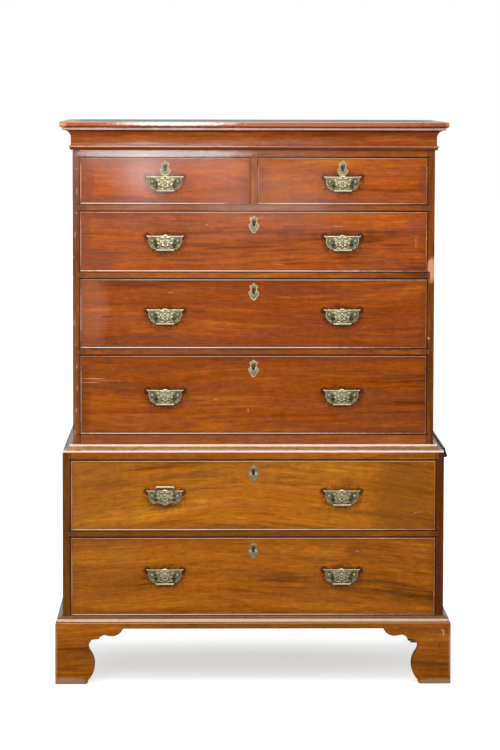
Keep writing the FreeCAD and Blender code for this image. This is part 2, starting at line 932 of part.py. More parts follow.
def backplate(x, face, z, holes):
    """A handle's backplate: straight top with a crest and ears, swept sides, cusped foot with a nub."""
    half = [
        (0, plate_crest),
        (plate_crest_half, plate_top),
        (plate_ear, plate_top),
        (plate_waist, plate_waist_rise),
        (plate_waist, 0),
        (plate_hip, -plate_hip_drop),
        (plate_heel, -plate_foot),
        (plate_nub_reach, -plate_foot),
        (plate_nub_neck, -plate_nub_neck_drop),
        (0, -plate_nub),
    ]
    plate = prism([Vector(x + a, face, z + b) for a, b in symmetric(half)], Vector(0, -plate_thickness, 0))
    return plate.cut(holes)


def post(x, plate_face, z, inward, inside):
    """A cast boss on a square shank through the drawer front, bored for the bail's pin on the side that inward
    points to."""
    rings = []
    for inradius, y in (
        (boss_radius, plate_face),
        (boss_radius, plate_face - boss_length + boss_chamfer),
        (boss_radius - boss_chamfer, plate_face - boss_length),
    ):
        rings.append([Vector(x + a, y, z + b) for a, b in faceted_ring(inradius, boss_sides)])
    boss = through_rings(rings)
    seat = x + inward * (boss_radius - pin_length - pin_end_gap)
    pivot_y = plate_face - pivot_standoff
    bore = prism(
        [Vector(seat, pivot_y + a, z + b) for a, b in faceted_ring(pin_radius + pin_clearance, pin_sides)],
        Vector(inward * boss_radius, 0, 0),
    )
    half = shank_side / 2
    shank = box(x - half, x + half, plate_face, inside + shank_tail, z - half, z + half)
    return joined([boss.cut(bore), shank])


def bail(x, plate_face, z, turn):
    """A swan-neck bail, drawn hanging and then turned outwards and up about its pins."""
    half = bail_width / 2
    leg = half - bail_leg
    foot = -bail_drop - bail_bar / 2
    head = bail_leg / 2
    shoulder = post_spacing / 2 - boss_radius - bail_shoulder_gap
    pivot_y = plate_face - pivot_standoff
    right = [(0, foot + bail_bar), (leg, foot + bail_bar)]
    right += bend((leg + bail_hook, head - bail_hook), bail_hook, 180, 90, small_facets)
    right += [(shoulder, head), (shoulder, -head), (half, -head)]
    right += bend((half - bail_corner, foot + bail_corner), bail_corner, 0, -90, small_facets)
    right += [(0, foot)]
    frame = prism(
        [Vector(x + a, pivot_y - bail_thickness / 2, z + b) for a, b in symmetric(right)],
        Vector(0, bail_thickness, 0),
    )
    pins = []
    reach = bail_shoulder_gap + pin_length
    across = pin_radius * math.cos(math.pi / pin_sides)
    for side in (-1, 1):
        start = x + side * shoulder
        corners = [Vector(start, pivot_y + a, z + b) for a, b in faceted_ring(across, pin_sides)]
        pins.append(prism(corners, Vector(side * reach, 0, 0)))
    whole = joined([frame] + pins)
    whole.rotate(Vector(x, pivot_y, z), Vector(1, 0, 0), -turn)
    return whole


def drawer(name, x0, x1, face, z0, z1, handles, handle_lift, turned_up, keyhole_drop):
    """Everything of one drawer in its opening. handles names each handle and its place across the case."""
    left = x0 + drawer_side_gap
    right = x1 - drawer_side_gap
    low = z0 + drawer_run_gap
    high = z1 - drawer_top_gap
    rear = back_inside - drawer_rear_gap
    inside = face + front_thickness
    boards, tails, bottom = drawer_box(left, right, face, rear, low, high)

    lock_x = (x0 + x1) / 2
    key_z = z1 - keyhole_drop
    lock = box(
        lock_x - lock_width / 2, lock_x + lock_width / 2, inside - lock_depth, inside, high - lock_height, high
    )
    handle_z = (low + high) / 2 + handle_lift
    plate_face = face - plate_thickness
    slot = keyhole_slot / 2
    tools = tails + [bottom, lock]
    tools.append(
        box(
            lock_x - slot,
            lock_x + slot,
            face - 1,
            inside - lock_depth,
            key_z - keyhole_length,
            key_z + keyhole_radius,
        )
    )
    crest = handle_z + plate_crest + escutcheon_trim
    under_plate = any(abs(x - lock_x) < escutcheon_half_width for x in handles.values())
    fittings = [lock, escutcheon(lock_x, face, key_z, crest if under_plate else low)]
    hole = shank_side / 2 + shank_clearance
    for handle, x in handles.items():
        holes = []
        for side in (-1, 1):
            post_x = x + side * post_spacing / 2
            holes.append(
                box(
                    post_x - hole,
                    post_x + hole,
                    plate_face - 1,
                    inside + 1,
                    handle_z - hole,
                    handle_z + hole,
                )
            )
            fittings.append(post(post_x, plate_face, handle_z, -side, inside))
        fittings.append(backplate(x, face, handle_z, holes))
        tools += holes
        export(handle, [bail(x, plate_face, handle_z, bail_rest_up if handle in turned_up else 0)])
    export(name + "_front", drawer_front(left, right, face, low, high, tools))
    export(name + "_box", boards)
    export(name + "_fittings", fittings)


short_half = muntin_width / 2
drawer(
    "drawer_1_left",
    -upper_inside,
    -short_half,
    upper_front,
    short_floor,
    short_top,
    {"bail_1_left": -handle_x},
    upper_handle_lifts[-1],
    (),
    short_keyhole_drop,
)
drawer(
    "drawer_1_right",
    short_half,
    upper_inside,
    upper_front,
    short_floor,
    short_top,
    {"bail_1_right": handle_x},
    upper_handle_lifts[-1],
    (),
    short_keyhole_drop,
)

long_rows = []
for number, level, height, lift in zip((4, 3, 2), upper_floors, upper_openings, upper_handle_lifts):
    long_rows.append((number, upper_inside, upper_front, level, height, lift))
for number, level, height, lift in zip((6, 5), lower_floors, lower_openings, lower_handle_lifts):
    long_rows.append((number, lower_inside, lower_front, level, height, lift))

for number, inside, front, level, height, lift in long_rows:
    handles = {
        "bail_%d_left" % number: -handle_x,
        "bail_%d_right" % number: handle_x,
    }
    drawer(
        "drawer_%d" % number,
        -inside,
        inside,
        front,
        level,
        level + height,
        handles,
        lift,
        ("bail_5_left",),
        long_keyhole_drop,
    )
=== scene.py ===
import json
import math

import bmesh
import bpy
from mathutils import Matrix, Vector, noise

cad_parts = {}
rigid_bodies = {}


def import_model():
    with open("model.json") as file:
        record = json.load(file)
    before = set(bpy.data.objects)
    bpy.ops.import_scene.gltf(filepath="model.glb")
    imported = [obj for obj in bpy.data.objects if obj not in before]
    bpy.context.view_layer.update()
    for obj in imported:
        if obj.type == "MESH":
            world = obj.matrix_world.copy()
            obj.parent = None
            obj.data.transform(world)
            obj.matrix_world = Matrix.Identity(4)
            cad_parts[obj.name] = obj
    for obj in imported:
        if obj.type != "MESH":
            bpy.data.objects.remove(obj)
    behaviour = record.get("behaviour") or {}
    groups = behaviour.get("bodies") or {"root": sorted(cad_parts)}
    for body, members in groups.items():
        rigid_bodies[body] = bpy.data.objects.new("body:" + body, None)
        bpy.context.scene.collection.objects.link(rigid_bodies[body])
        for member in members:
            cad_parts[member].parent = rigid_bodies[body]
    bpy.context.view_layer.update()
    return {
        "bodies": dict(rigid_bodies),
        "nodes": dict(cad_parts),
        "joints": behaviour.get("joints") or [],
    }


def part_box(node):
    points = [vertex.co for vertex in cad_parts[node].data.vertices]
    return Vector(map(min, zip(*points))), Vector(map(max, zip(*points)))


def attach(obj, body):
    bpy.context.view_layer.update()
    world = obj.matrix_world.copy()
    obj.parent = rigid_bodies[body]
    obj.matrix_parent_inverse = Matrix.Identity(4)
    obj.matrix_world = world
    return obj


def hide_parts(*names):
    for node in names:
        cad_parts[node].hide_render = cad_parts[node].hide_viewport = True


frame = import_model()

# --- The room ---------------------------------------------------------------------------------------------
# A pale floor that goes on without an edge, a white surround and soft lamps: one overhead, one to the upper
# left and three small ones beside the camera, which the polish of the top rail and the upper drawers
# mirrors. The camera stands well back, a little left of the middle and above the top.
scene = bpy.context.scene
scene.view_settings.view_transform = "Standard"


def put(tree, kind, links=(), **settings):
    """A new node. links gives its inputs by name or number, each a value or another node's socket."""
    node = tree.nodes.new(kind)
    for key, value in settings.items():
        setattr(node, key, value)
    for key, value in dict(links).items():
        if isinstance(value, bpy.types.NodeSocket):
            tree.links.new(value, node.inputs[key])
        else:
            node.inputs[key].default_value = value
    return node


def sums(tree, operation, first, second=0.0, third=None, clamp=False):
    """One step of arithmetic on numbers or sockets, as a socket."""
    links = {0: first, 1: second}
    if third is not None:
        links[2] = third
    return put(tree, "ShaderNodeMath", links, operation=operation, use_clamp=clamp).outputs[0]


def fade(tree, value, low, high, least=0.0, most=1.0, kind="LINEAR"):
    """A number or socket that goes from least to most while value goes from low to high, as a socket."""
    links = {0: value, 1: low, 2: high, 3: least, 4: most}
    return put(tree, "ShaderNodeMapRange", links, interpolation_type=kind).outputs[0]


def blank(name):
    """A new material and its tree, with nothing in it yet."""
    material = bpy.data.materials.new(name)
    material.use_nodes = True
    material.node_tree.nodes.clear()
    return material, material.node_tree


eye = Vector((-0.1375, -7.2, 1.652))
heading, tilt, roll = -0.0182, 0.0597, -0.0023
film_width = 36
picture_height = 750
focal_pixels = 2515.3
ahead = Vector((-math.sin(heading), math.cos(heading), 0))
across = Vector((math.cos(heading), math.sin(heading), 0))
forward = ahead * math.cos(tilt) - Vector((0, 0, math.sin(tilt)))
upward = ahead * math.sin(tilt) + Vector((0, 0, math.cos(tilt)))
right = across * math.cos(roll) - upward * math.sin(roll)
top = across * math.sin(roll) + upward * math.cos(roll)
lens = bpy.data.cameras.new("camera")
lens.sensor_fit = "AUTO"
lens.sensor_width = film_width
lens.lens = film_width * focal_pixels / picture_height
lens.shift_y = -0.18
camera = bpy.data.objects.new("camera", lens)
scene.collection.objects.link(camera)
camera.matrix_world = Matrix(
    [[right[i], top[i], -forward[i], eye[i]] for i in range(3)] + [[0, 0, 0, 1]]
)
scene.camera = camera

world = bpy.data.worlds.new("surround")
scene.world = world
world.use_nodes = True
sky = world.node_tree
sky.nodes.clear()
rays = put(sky, "ShaderNodeLightPath").outputs
reflected = sums(sky, "MAXIMUM", rays["Is Glossy Ray"], rays["Is Transmission Ray"])
seen = sums(sky, "MAXIMUM", rays["Is Camera Ray"], reflected)
level = sums(sky, "MULTIPLY_ADD", seen, 0.53, 0.47)
air = put(sky, "ShaderNodeBackground", {"Color": (1, 1, 1, 1), "Strength": level})
put(sky, "ShaderNodeOutputWorld", {"Surface": air.outputs[0]})


def lamp(name, place, aim, width, height, power):
    """A soft rectangular lamp at a place, turned to a point."""
    light = bpy.data.lights.new(name, "AREA")
    light.shape = "RECTANGLE"
    light.size = width
    light.size_y = height
    light.energy = power
    holder = bpy.data.objects.new(name, light)
    holder.location = place
    holder.rotation_euler = (Vector(aim) - Vector(place)).to_track_quat("-Z", "Y").to_euler()
    scene.collection.objects.link(holder)


lamp("overhead_lamp", (-0.3, -1.5, 3.3), (0, -0.2, 0.6), 3.2, 2.2, 55)
lamp("left_lamp", (-2.6, -4.2, 2.7), (0, -0.2, 0.9), 1.8, 1.8, 60)
lamp("front_lamp", (-0.40, -7.3, 1.315), (-0.2, -0.2, 1.47), 0.88, 0.09, 60)
lamp("small_lamp", (-0.475, -7.3, 1.170), (-0.3, -0.2, 1.42), 0.17, 0.11, 30)
lamp("middle_lamp", (0.20, -7.3, 1.080), (0.0, -0.2, 1.37), 0.70, 0.34, 31)

floor_mesh = bpy.data.meshes.new("floor")
floor_mesh.from_pydata([(-30, -30, 0), (30, -30, 0), (30, 30, 0), (-30, 30, 0)], [], [(0, 1, 2, 3)])
floor = bpy.data.objects.new("floor", floor_mesh)
scene.collection.objects.link(floor)
pale, tree = blank("floor_paint")
rays = put(tree, "ShaderNodeLightPath").outputs
matt = put(tree, "ShaderNodeBsdfDiffuse", {"Color": (0.80, 0.80, 0.79, 1)})
half = put(tree, "ShaderNodeBsdfDiffuse", {"Color": (0.50, 0.50, 0.495, 1)})
# Seen by the camera the floor glows, less near the chest than far off and beyond the feet at the sides: a
# painted shadow under and round the chest.
place = put(tree, "ShaderNodeTexCoord").outputs["Object"]
nearby = put(tree, "ShaderNodeVectorMath", {0: place, 1: (0.0, 0.020, 0.0)}, operation="ADD").outputs[0]
nearby = put(tree, "ShaderNodeVectorMath", {0: nearby, 1: (0.8, 2.8, 1.0)}, operation="MULTIPLY").outputs[0]
away = put(tree, "ShaderNodeVectorMath", {0: nearby}, operation="LENGTH").outputs["Value"]
glow_with_painted_shadow = fade(tree, away, 0.2, 1.3, 0.57, 0.95, "SMOOTHSTEP")
beside = sums(tree, "ABSOLUTE", put(tree, "ShaderNodeSeparateXYZ", {0: place}).outputs[0])
clear = fade(tree, beside, 0.52, 0.62, 0.50, 0.96)
glow_with_painted_shadow = sums(tree, "MAXIMUM", glow_with_painted_shadow, clear)
glow = put(tree, "ShaderNodeEmission", {"Color": (1, 1, 1, 1), "Strength": glow_with_painted_shadow})
shown = put(tree, "ShaderNodeAddShader", {0: half.outputs[0], 1: glow.outputs[0]})
by_ray = {0: rays["Is Camera Ray"], 1: matt.outputs[0], 2: shown.outputs[0]}
choice = put(tree, "ShaderNodeMixShader", by_ray)
put(tree, "ShaderNodeOutputMaterial", {"Surface": choice.outputs[0]})
floor_mesh.materials.append(pale)

# --- The upper chest's carcase ----------------------------------------------------------------------------
# Solid mahogany sides with upright grain, housed for the rails and the muntin, and waxed over two centuries
# to a red brown. The boards that don't show are oak and pine, left bare: top and bottom dovetailed, the
# back nailed on.
nodes = frame["nodes"]
red_deep = (0.105, 0.022, 0.006)
red_middle = (0.262, 0.058, 0.008)
red_light = (0.405, 0.112, 0.018)
dust_and_sheen = (0.19, 0.255, 0.245)
# Near-black brown, for grime in seams and along edges, and for painted shade in gaps, in hollows and on
# fretted edges that face inward.
grime_and_shade = (0.022, 0.007, 0.003)
rub_and_highlight_pale = (0.74, 0.50, 0.41)
stile_brown = (0.150, 0.042, 0.016)


def ramp(tree, value, stops, kind="LINEAR"):
    """Colours that follow a value through stops, each (value, colour), as a socket."""
    made = put(tree, "ShaderNodeValToRGB", {0: value})
    made.color_ramp.interpolation = kind
    elements = made.color_ramp.elements
    for element, (position, paint) in ((elements[0], stops[0]), (elements[1], stops[-1])):
        element.position = position
        element.color = (*paint, 1)
    for position, paint in stops[1:-1]:
        elements.new(position).color = (*paint, 1)
    return made.outputs[0]


def mahogany(name, along, deep, middle, light, place=0.0, slant=0.0, bow=0.0, figure=1.0, gloss=0.34,
             marks=(), halo=None, dust_and_sheen_share=0.7, border=None, rubbed_and_lit=0.0, ends=None, plum=0.62, coat=0.032,
             inward_shade=0.0, until=None, sides=None):
    """Old polished mahogany. The grain runs along an axis, turned by slant and bowed. Marks are soft spots
    in the upright plane across the front, each (x, z, half width, half height, colour, share); besides
    stains, scratches and chips, some of them are painted highlights and painted shade. The other values are:
    figure, the strength of the ripple across the grain; gloss, how rough the polish is; plum, how far the
    streaks turn from orange to a purplish brown; halo, where a drawer's handle hangs, round whose plate
    older ones have left a dark rim and under whose plate and bail a shadow is painted; border, a board's low
    and high corners, along whose edges grime has gathered; ends, the x on both sides beyond which it takes
    the colour of the sides' edges; rubbed_and_lit, how pale wear and a painted highlight leave what faces
    forward most;
    inward_shade, how dark the painted shade is on the fretted edges that face inward; dust_and_sheen_share,
    how much dust, with a painted grey-green sheen, lies on top; coat, the share of clear wax that mirrors
    the light; until, the y behind which only marks wider than a metre go on; and sides, the colour of dust
    and a painted grey-green sheen on a moulding's side lengths behind it, which are also made darker."""
    material, tree = blank(name)
    where = put(tree, "ShaderNodeTexCoord").outputs["Object"]
    turn = {"X": (0, slant, 0), "Y": (slant, 0, -math.pi / 2), "Z": (0, math.pi / 2 + slant, 0)}[along]
    lie = put(tree, "ShaderNodeMapping", {"Vector": where, "Rotation": turn}).outputs[0]

    def step(operation, first, second):
        return put(tree, "ShaderNodeVectorMath", {0: first, 1: second}, operation=operation).outputs[0]

    def grain(scale, detail, rough, distortion=0.0, source=None):
        stretched = step("MULTIPLY", source or lie, scale)
        return put(tree, "ShaderNodeTexNoise", {
            "Vector": stretched, "Scale": 1.0, "Detail": detail, "Roughness": rough,
            "Distortion": distortion,
        }).outputs["Fac"]

    # The run of the grain, bowed and a little wavy.
    if bow:
        run = put(tree, "ShaderNodeSeparateXYZ", {0: lie}).outputs[0]
        risen = sums(tree, "MULTIPLY", sums(tree, "MULTIPLY", run, run), bow)
        lie = step("ADD", lie, put(tree, "ShaderNodeCombineXYZ", {2: risen}).outputs[0])
    lie = step("ADD", lie, (place, place * 1.7, place * 0.6))
    drift = put(tree, "ShaderNodeTexNoise", {
        "Vector": step("MULTIPLY", lie, (1.4, 1.8, 1.8)), "Scale": 1.0, "Detail": 1.5,
    }).outputs["Color"]
    bent = step("ADD", lie, step("MULTIPLY", step("SUBTRACT", drift, (0.5, 0.5, 0.5)), (0.0, 0.09, 0.09)))

    # The figure, from broad bands down to fine lines.
    bands = grain((0.9, 14, 14), 2.0, 0.5, 0.3, bent)
    streaks = grain((4.5, 90, 90), 3.0, 0.60, 0.0, bent)
    lines = grain((22, 330, 330), 3.0, 0.65, 0.0, bent)
    hues = grain((2.6, 42, 42), 3.0, 0.62, 0.0, step("ADD", bent, (3.3, 1.7, 2.9)))
    ripple = grain((16, 2.2, 2.2), 2.0, 0.5, 0.6, bent)
    cloud = grain((1.7, 3.2, 3.2), 2.0, 0.5)
    mottle = grain((60, 75, 75), 3.0, 0.6)

    # The colours of clean wood.
    tone = sums(tree, "MULTIPLY_ADD", streaks, 1.00, sums(tree, "MULTIPLY_ADD", bands, 1.00, -0.50))
    tone = sums(tree, "ADD", tone, sums(tree, "MULTIPLY_ADD", ripple, 0.16 * figure, -0.08 * figure))
    tone = sums(tree, "ADD", tone, sums(tree, "MULTIPLY_ADD", cloud, 0.40, -0.20), clamp=True)
    warmed = [(red, green, blue * 0.4) for red, green, blue in (deep, middle, light)]
    body = ramp(tree, tone, list(zip((0.14, 0.50, 0.86), warmed)), "EASE")

    def mix(share, below, above, kind="MIX"):
        links = {0: share, 6: below, 7: above}
        return put(tree, "ShaderNodeMix", links, data_type="RGBA", blend_type=kind).outputs[2]

    def grey(value):
        return put(tree, "ShaderNodeCombineColor", {0: value, 1: value, 2: value}).outputs[0]

    purplish = (middle[0] * 0.70, middle[1] * 0.88, middle[2] * 1.2 + 0.012, 1)
    colour = mix(fade(tree, hues, 0.44, 0.62, 0.0, plum), body, purplish)
    colour = mix(1.0, colour, grey(fade(tree, lines, 0.30, 0.70, 0.72, 1.26)), "MULTIPLY")
    colour = mix(1.0, colour, grey(fade(tree, mottle, 0.3, 0.7, 0.86, 1.13)), "MULTIPLY")

    apart = put(tree, "ShaderNodeSeparateXYZ", {0: where}).outputs
    ragged = sums(tree, "MULTIPLY_ADD", grain((70, 70, 70), 3.0, 0.6, 0.0, where), 0.9, -0.45)

    def spot(x, z, half_width, half_height, ragged=ragged):
        """How far inside an oval with ragged edges a point lies, 1 in the middle."""
        dx = sums(tree, "DIVIDE", x, half_width)
        dz = sums(tree, "DIVIDE", z, half_height)
        squares = sums(tree, "ADD", sums(tree, "MULTIPLY", dx, dx), sums(tree, "MULTIPLY", dz, dz))
        return fade(tree, sums(tree, "ADD", sums(tree, "SQRT", squares), ragged), 1.15, 0.65)

    # Seams and edges, marks, old polish round the plates, and painted shadow under the plates and their
    # bails.
    if ends:
        beyond = sums(tree, "SUBTRACT", sums(tree, "ABSOLUTE", apart[0]), ends)
        outer = fade(tree, beyond, -0.0002, 0.0004)
        seam = fade(tree, sums(tree, "ABSOLUTE", beyond), 0.0003, 0.0014, 0.85, 0.0)
        colour = mix(outer, colour, (*stile_brown, 1))
        colour = mix(seam, colour, (*grime_and_shade, 1))
    if border:
        low, high = border
        edges = [sums(tree, "SUBTRACT", apart[0], low.x), sums(tree, "SUBTRACT", high.x, apart[0]),
                 sums(tree, "SUBTRACT", apart[2], low.z), sums(tree, "SUBTRACT", high.z, apart[2])]
        near = sums(tree, "MINIMUM", sums(tree, "MINIMUM", edges[0], edges[1]),
                    sums(tree, "MINIMUM", edges[2], edges[3]))
        near = sums(tree, "MULTIPLY_ADD", ragged, -0.003, near)
        thin = fade(tree, near, 0.0034, 0.0050, 0.60, 0.0)
        wide = fade(tree, near, 0.0, 0.026, 0.24, 0.0)
        colour = mix(sums(tree, "MAXIMUM", thin, wide), colour, (*grime_and_shade, 1))
    for x, z, half_width, half_height, paint, share in marks:
        inside = spot(sums(tree, "SUBTRACT", apart[0], x), sums(tree, "SUBTRACT", apart[2], z),
                      half_width, half_height)
        if until is not None and half_width < 1:
            inside = sums(tree, "MULTIPLY", inside, fade(tree, apart[1], until, until + 0.006, 1.0, 0.0))
        colour = mix(sums(tree, "MULTIPLY", inside, share), colour, (*paint, 1))
    if halo is not None:
        from_handle = sums(tree, "SUBTRACT", sums(tree, "ABSOLUTE", apart[0]), abs(halo.x))
        beside = sums(tree, "ABSOLUTE", from_handle)
        rise = sums(tree, "SUBTRACT", apart[2], halo.z)
        torn = sums(tree, "MULTIPLY_ADD", grain((190, 230, 230), 3.0, 0.65, 0.0, where), 1.5, -0.75)
        # lobes are the dark rims left by older plates; under darkens a ring round the plate, old polish with
        # a painted shadow under its bottom edge; below is a painted shadow with a stain under the bail's
        # bar.
        lobes = spot(sums(tree, "SUBTRACT", beside, 0.0485), sums(tree, "SUBTRACT", rise, 0.0105),
                     0.0135, 0.0125, torn)
        under = spot(beside, sums(tree, "ADD", rise, 0.006), 0.058, 0.0345, torn)
        below = spot(beside, sums(tree, "ADD", rise, 0.0295), 0.031, 0.0065, torn)
        worn = sums(tree, "MAXIMUM", sums(tree, "MULTIPLY", lobes, 0.90),
                    sums(tree, "MULTIPLY", under, 0.85))
        worn = sums(tree, "MAXIMUM", worn, sums(tree, "MULTIPLY", below, 0.88))
        colour = mix(worn, colour, (deep[0] * 0.30, deep[1] * 0.30, deep[2] * 0.5, 1))
    # Faces that look to the side, inward, forward and up: dust with a painted sheen on the mouldings' sides
    # and on tops, painted shade on fretted edges that face inward, and wear with a painted highlight on what
    # faces forward.
    normal = put(tree, "ShaderNodeNewGeometry").outputs["Normal"]
    facing = put(tree, "ShaderNodeSeparateXYZ", {0: normal}).outputs
    flat = facing[2]
    # A moulding's side lengths behind the front are darker, and what faces up on them takes dust with a
    # painted grey-green sheen.
    if sides:
        behind = fade(tree, apart[1], until, until + 0.012, 0.0, 0.80)
        upward = fade(tree, flat, 0.10, 0.50, 0.15, 1.0)
        colour = mix(fade(tree, apart[1], until, until + 0.012, 0.0, 0.55), colour, (0.15, 0.055, 0.028, 1))
        colour = mix(sums(tree, "MULTIPLY", behind, upward), colour, (*sides, 1))
    # Painted shade: the fretted edges that face inward, toward the middle, are darkened toward near black.
    if inward_shade:
        outward = sums(tree, "MULTIPLY", facing[0], sums(tree, "SIGN", apart[0]))
        inward = fade(tree, outward, 0.70, 0.50, 0.0, 1.0)
        across = fade(tree, sums(tree, "ABSOLUTE", facing[1]), 0.75, 0.60, 0.0, inward_shade)
        colour = mix(sums(tree, "MULTIPLY", inward, across), colour, (*grime_and_shade, 1))
    # What faces forward most turns pale in patches: partly wear, partly a painted highlight.
    if rubbed_and_lit:
        to_front = sums(tree, "MULTIPLY_ADD", flat, 0.25, sums(tree, "MULTIPLY", facing[1], -1.0))
        forward_most = fade(tree, to_front, 0.72, 0.98, 0.0, rubbed_and_lit)
        patchy = fade(tree, cloud, 0.30, 0.55, 0.45, 1.0)
        colour = mix(sums(tree, "MULTIPLY", forward_most, patchy), colour, (*rub_and_highlight_pale, 1))
    # What faces up takes dust and, with it, a painted grey-green sheen, the look of a top seen low across
    # it.
    lying = fade(tree, flat, 0.80, 0.98, 0.0, dust_and_sheen_share)
    dust_and_sheen_mask = sums(tree, "MULTIPLY", lying, fade(tree, mottle, 0.25, 0.6))
    colour = mix(dust_and_sheen_mask, colour, (*dust_and_sheen, 1))

    # The waxed surface, duller under dust.
    dull = fade(tree, cloud, 0.3, 0.7, gloss - 0.05, gloss + 0.08)
    dull = sums(tree, "ADD", dull, sums(tree, "MULTIPLY_ADD", streaks, 0.10, -0.05))
    dull = sums(tree, "MULTIPLY_ADD", dust_and_sheen_mask, 0.25, dull)
    height = sums(tree, "ADD", sums(tree, "MULTIPLY", lines, 0.5), sums(tree, "MULTIPLY", cloud, 2.0))
    bump = put(tree, "ShaderNodeBump", {"Height": height, "Strength": 0.35, "Distance": 0.0006}).outputs[0]
    waxed = put(tree, "ShaderNodeBump", {"Height": height, "Strength": 0.09, "Distance": 0.0006}).outputs[0]
    wood = put(tree, "ShaderNodeBsdfPrincipled", {
        "Base Color": colour, "Roughness": dull, "Normal": bump, "Specular IOR Level": 0.11,
        "Coat Weight": coat, "Specular Tint": (1.0, 0.52, 0.24, 1), "Coat Roughness": 0.08,
        "Coat Normal": waxed,
    })
    put(tree, "ShaderNodeOutputMaterial", {"Surface": wood.outputs[0]})
    return material


def bare_wood(name, along, deep, light, place=0.0, box=False):
    """Unpolished oak or pine, greyed and handled, with its grain along an axis, and across it on the boards
    of a box that face forward or back."""
    material, tree = blank(name)
    turn = {"X": (0, 0, 0), "Y": (0, 0, -math.pi / 2), "Z": (0, math.pi / 2, 0)}[along]
    where = put(tree, "ShaderNodeTexCoord").outputs["Object"]
    shift = (place, place, place)
    lie = put(tree, "ShaderNodeMapping", {"Vector": where, "Rotation": turn, "Location": shift}).outputs[0]
    if box:
        normal = put(tree, "ShaderNodeNewGeometry").outputs["Normal"]
        forward_or_back = sums(tree, "ABSOLUTE", put(tree, "ShaderNodeSeparateXYZ", {0: normal}).outputs[1])
        crossed = sums(tree, "GREATER_THAN", forward_or_back, 0.7)
        wide = put(tree, "ShaderNodeMapping", {"Vector": where, "Location": shift}).outputs[0]
        lie = put(tree, "ShaderNodeMix", {0: crossed, 4: lie, 5: wide}, data_type="VECTOR").outputs[1]

    def grain(scale, detail):
        stretched = put(tree, "ShaderNodeMapping", {"Vector": lie, "Scale": scale}).outputs[0]
        return put(tree, "ShaderNodeTexNoise", {
            "Vector": stretched, "Scale": 1.0, "Detail": detail, "Roughness": 0.6, "Distortion": 0.3,
        }).outputs["Fac"]

    rings = grain((1.4, 34, 34), 3.0)
    pores = grain((16, 520, 520), 2.0)
    stains = grain((5, 6, 6), 3.0)
    fine = sums(tree, "MULTIPLY_ADD", pores, 0.5, -0.15)
    tone = sums(tree, "ADD", sums(tree, "MULTIPLY", rings, 0.7), fine, clamp=True)
    body = ramp(tree, tone, [(0.2, deep), (0.75, light)])
    shade = fade(tree, stains, 0.3, 0.7, 0.72, 1.06)
    greyed = put(tree, "ShaderNodeCombineColor", {0: shade, 1: shade, 2: shade}).outputs[0]
    colour = put(tree, "ShaderNodeMix", {0: 1.0, 6: body, 7: greyed}, data_type="RGBA",
                 blend_type="MULTIPLY").outputs[2]
    height = sums(tree, "ADD", pores, rings)
    bump = put(tree, "ShaderNodeBump", {"Height": height, "Strength": 0.5, "Distance": 0.0005}).outputs[0]
    dull = fade(tree, stains, 0.3, 0.7, 0.62, 0.78)
    wood = put(tree, "ShaderNodeBsdfPrincipled", {
        "Base Color": colour, "Roughness": dull, "Normal": bump, "Specular IOR Level": 0.3,
    })
    put(tree, "ShaderNodeOutputMaterial", {"Surface": wood.outputs[0]})
    return material


def dress(material, *names):
    """Gives solids of the frame their finish."""
    for name in names:
        mesh = nodes[name].data
        mesh.materials.clear()
        mesh.materials.append(material)


rail_end_brown = (0.075, 0.028, 0.014)


def rail_marks(drawers, opening, share):
    """Marks on the rails between some drawers, named from the top down: a dark spot where each rail meets a
    side, whose inner face is at x = opening, and painted shade for the gaps over and under the fronts."""
    boxes = [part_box(drawer + "_front") for drawer in drawers]
    gaps = [z for low, high in boxes for z in (high.z + 0.0020, low.z - 0.0008)]
    rails = [(over + under) / 2 for over, under in zip(gaps[1::2], gaps[2::2])]
    ends = [
        (sign * (opening - 0.009), z, 0.0095, 0.0085, rail_end_brown, share)
        for z in rails for sign in (-1, 1)
    ]
    return ends, [(0, z, 9.0, 0.0025, grime_and_shade, 1.0) for z in gaps]


chip = (0.72, 0.34, 0.20)
speckle = (0.42, 0.31, 0.24)
upper_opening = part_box("upper_side_right")[0].x
upper_seams = [(sign * (upper_opening + 0.0008), 1.0, 0.0015, 9.0, grime_and_shade, 0.88) for sign in (-1, 1)]
stile_specks = [
    (-0.4965 + 0.006 * math.sin(7 * k), 0.70 + 0.061 * k,
     0.0016, 0.007 + 0.004 * math.sin(3 * k), speckle, 0.6)
    for k in range(13)
]
upper_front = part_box("upper_side_right")[0].y
dress(mahogany("upper_side_left_wood", "Z", (0.095, 0.027, 0.015), (0.190, 0.056, 0.030),
               (0.360, 0.120, 0.065), 3.1, marks=upper_seams + stile_specks, until=upper_front + 0.004),
      "upper_side_left")
damage = [(0.4950, 1.154, 0.0125, 0.036, (0.60, 0.25, 0.13), 0.95), (0.487, 0.962, 0.003, 0.004, chip, 0.7)]
dress(mahogany("upper_side_right_wood", "Z", (0.085, 0.021, 0.003), (0.185, 0.043, 0.005),
               (0.330, 0.088, 0.012), 8.4, marks=upper_seams + damage, plum=0.3, until=upper_front + 0.007),
      "upper_side_right")
upper_drawers = ("drawer_1_left", "drawer_2", "drawer_3", "drawer_4")
upper_ends, upper_gaps = rail_marks(upper_drawers, upper_opening, 0.60)
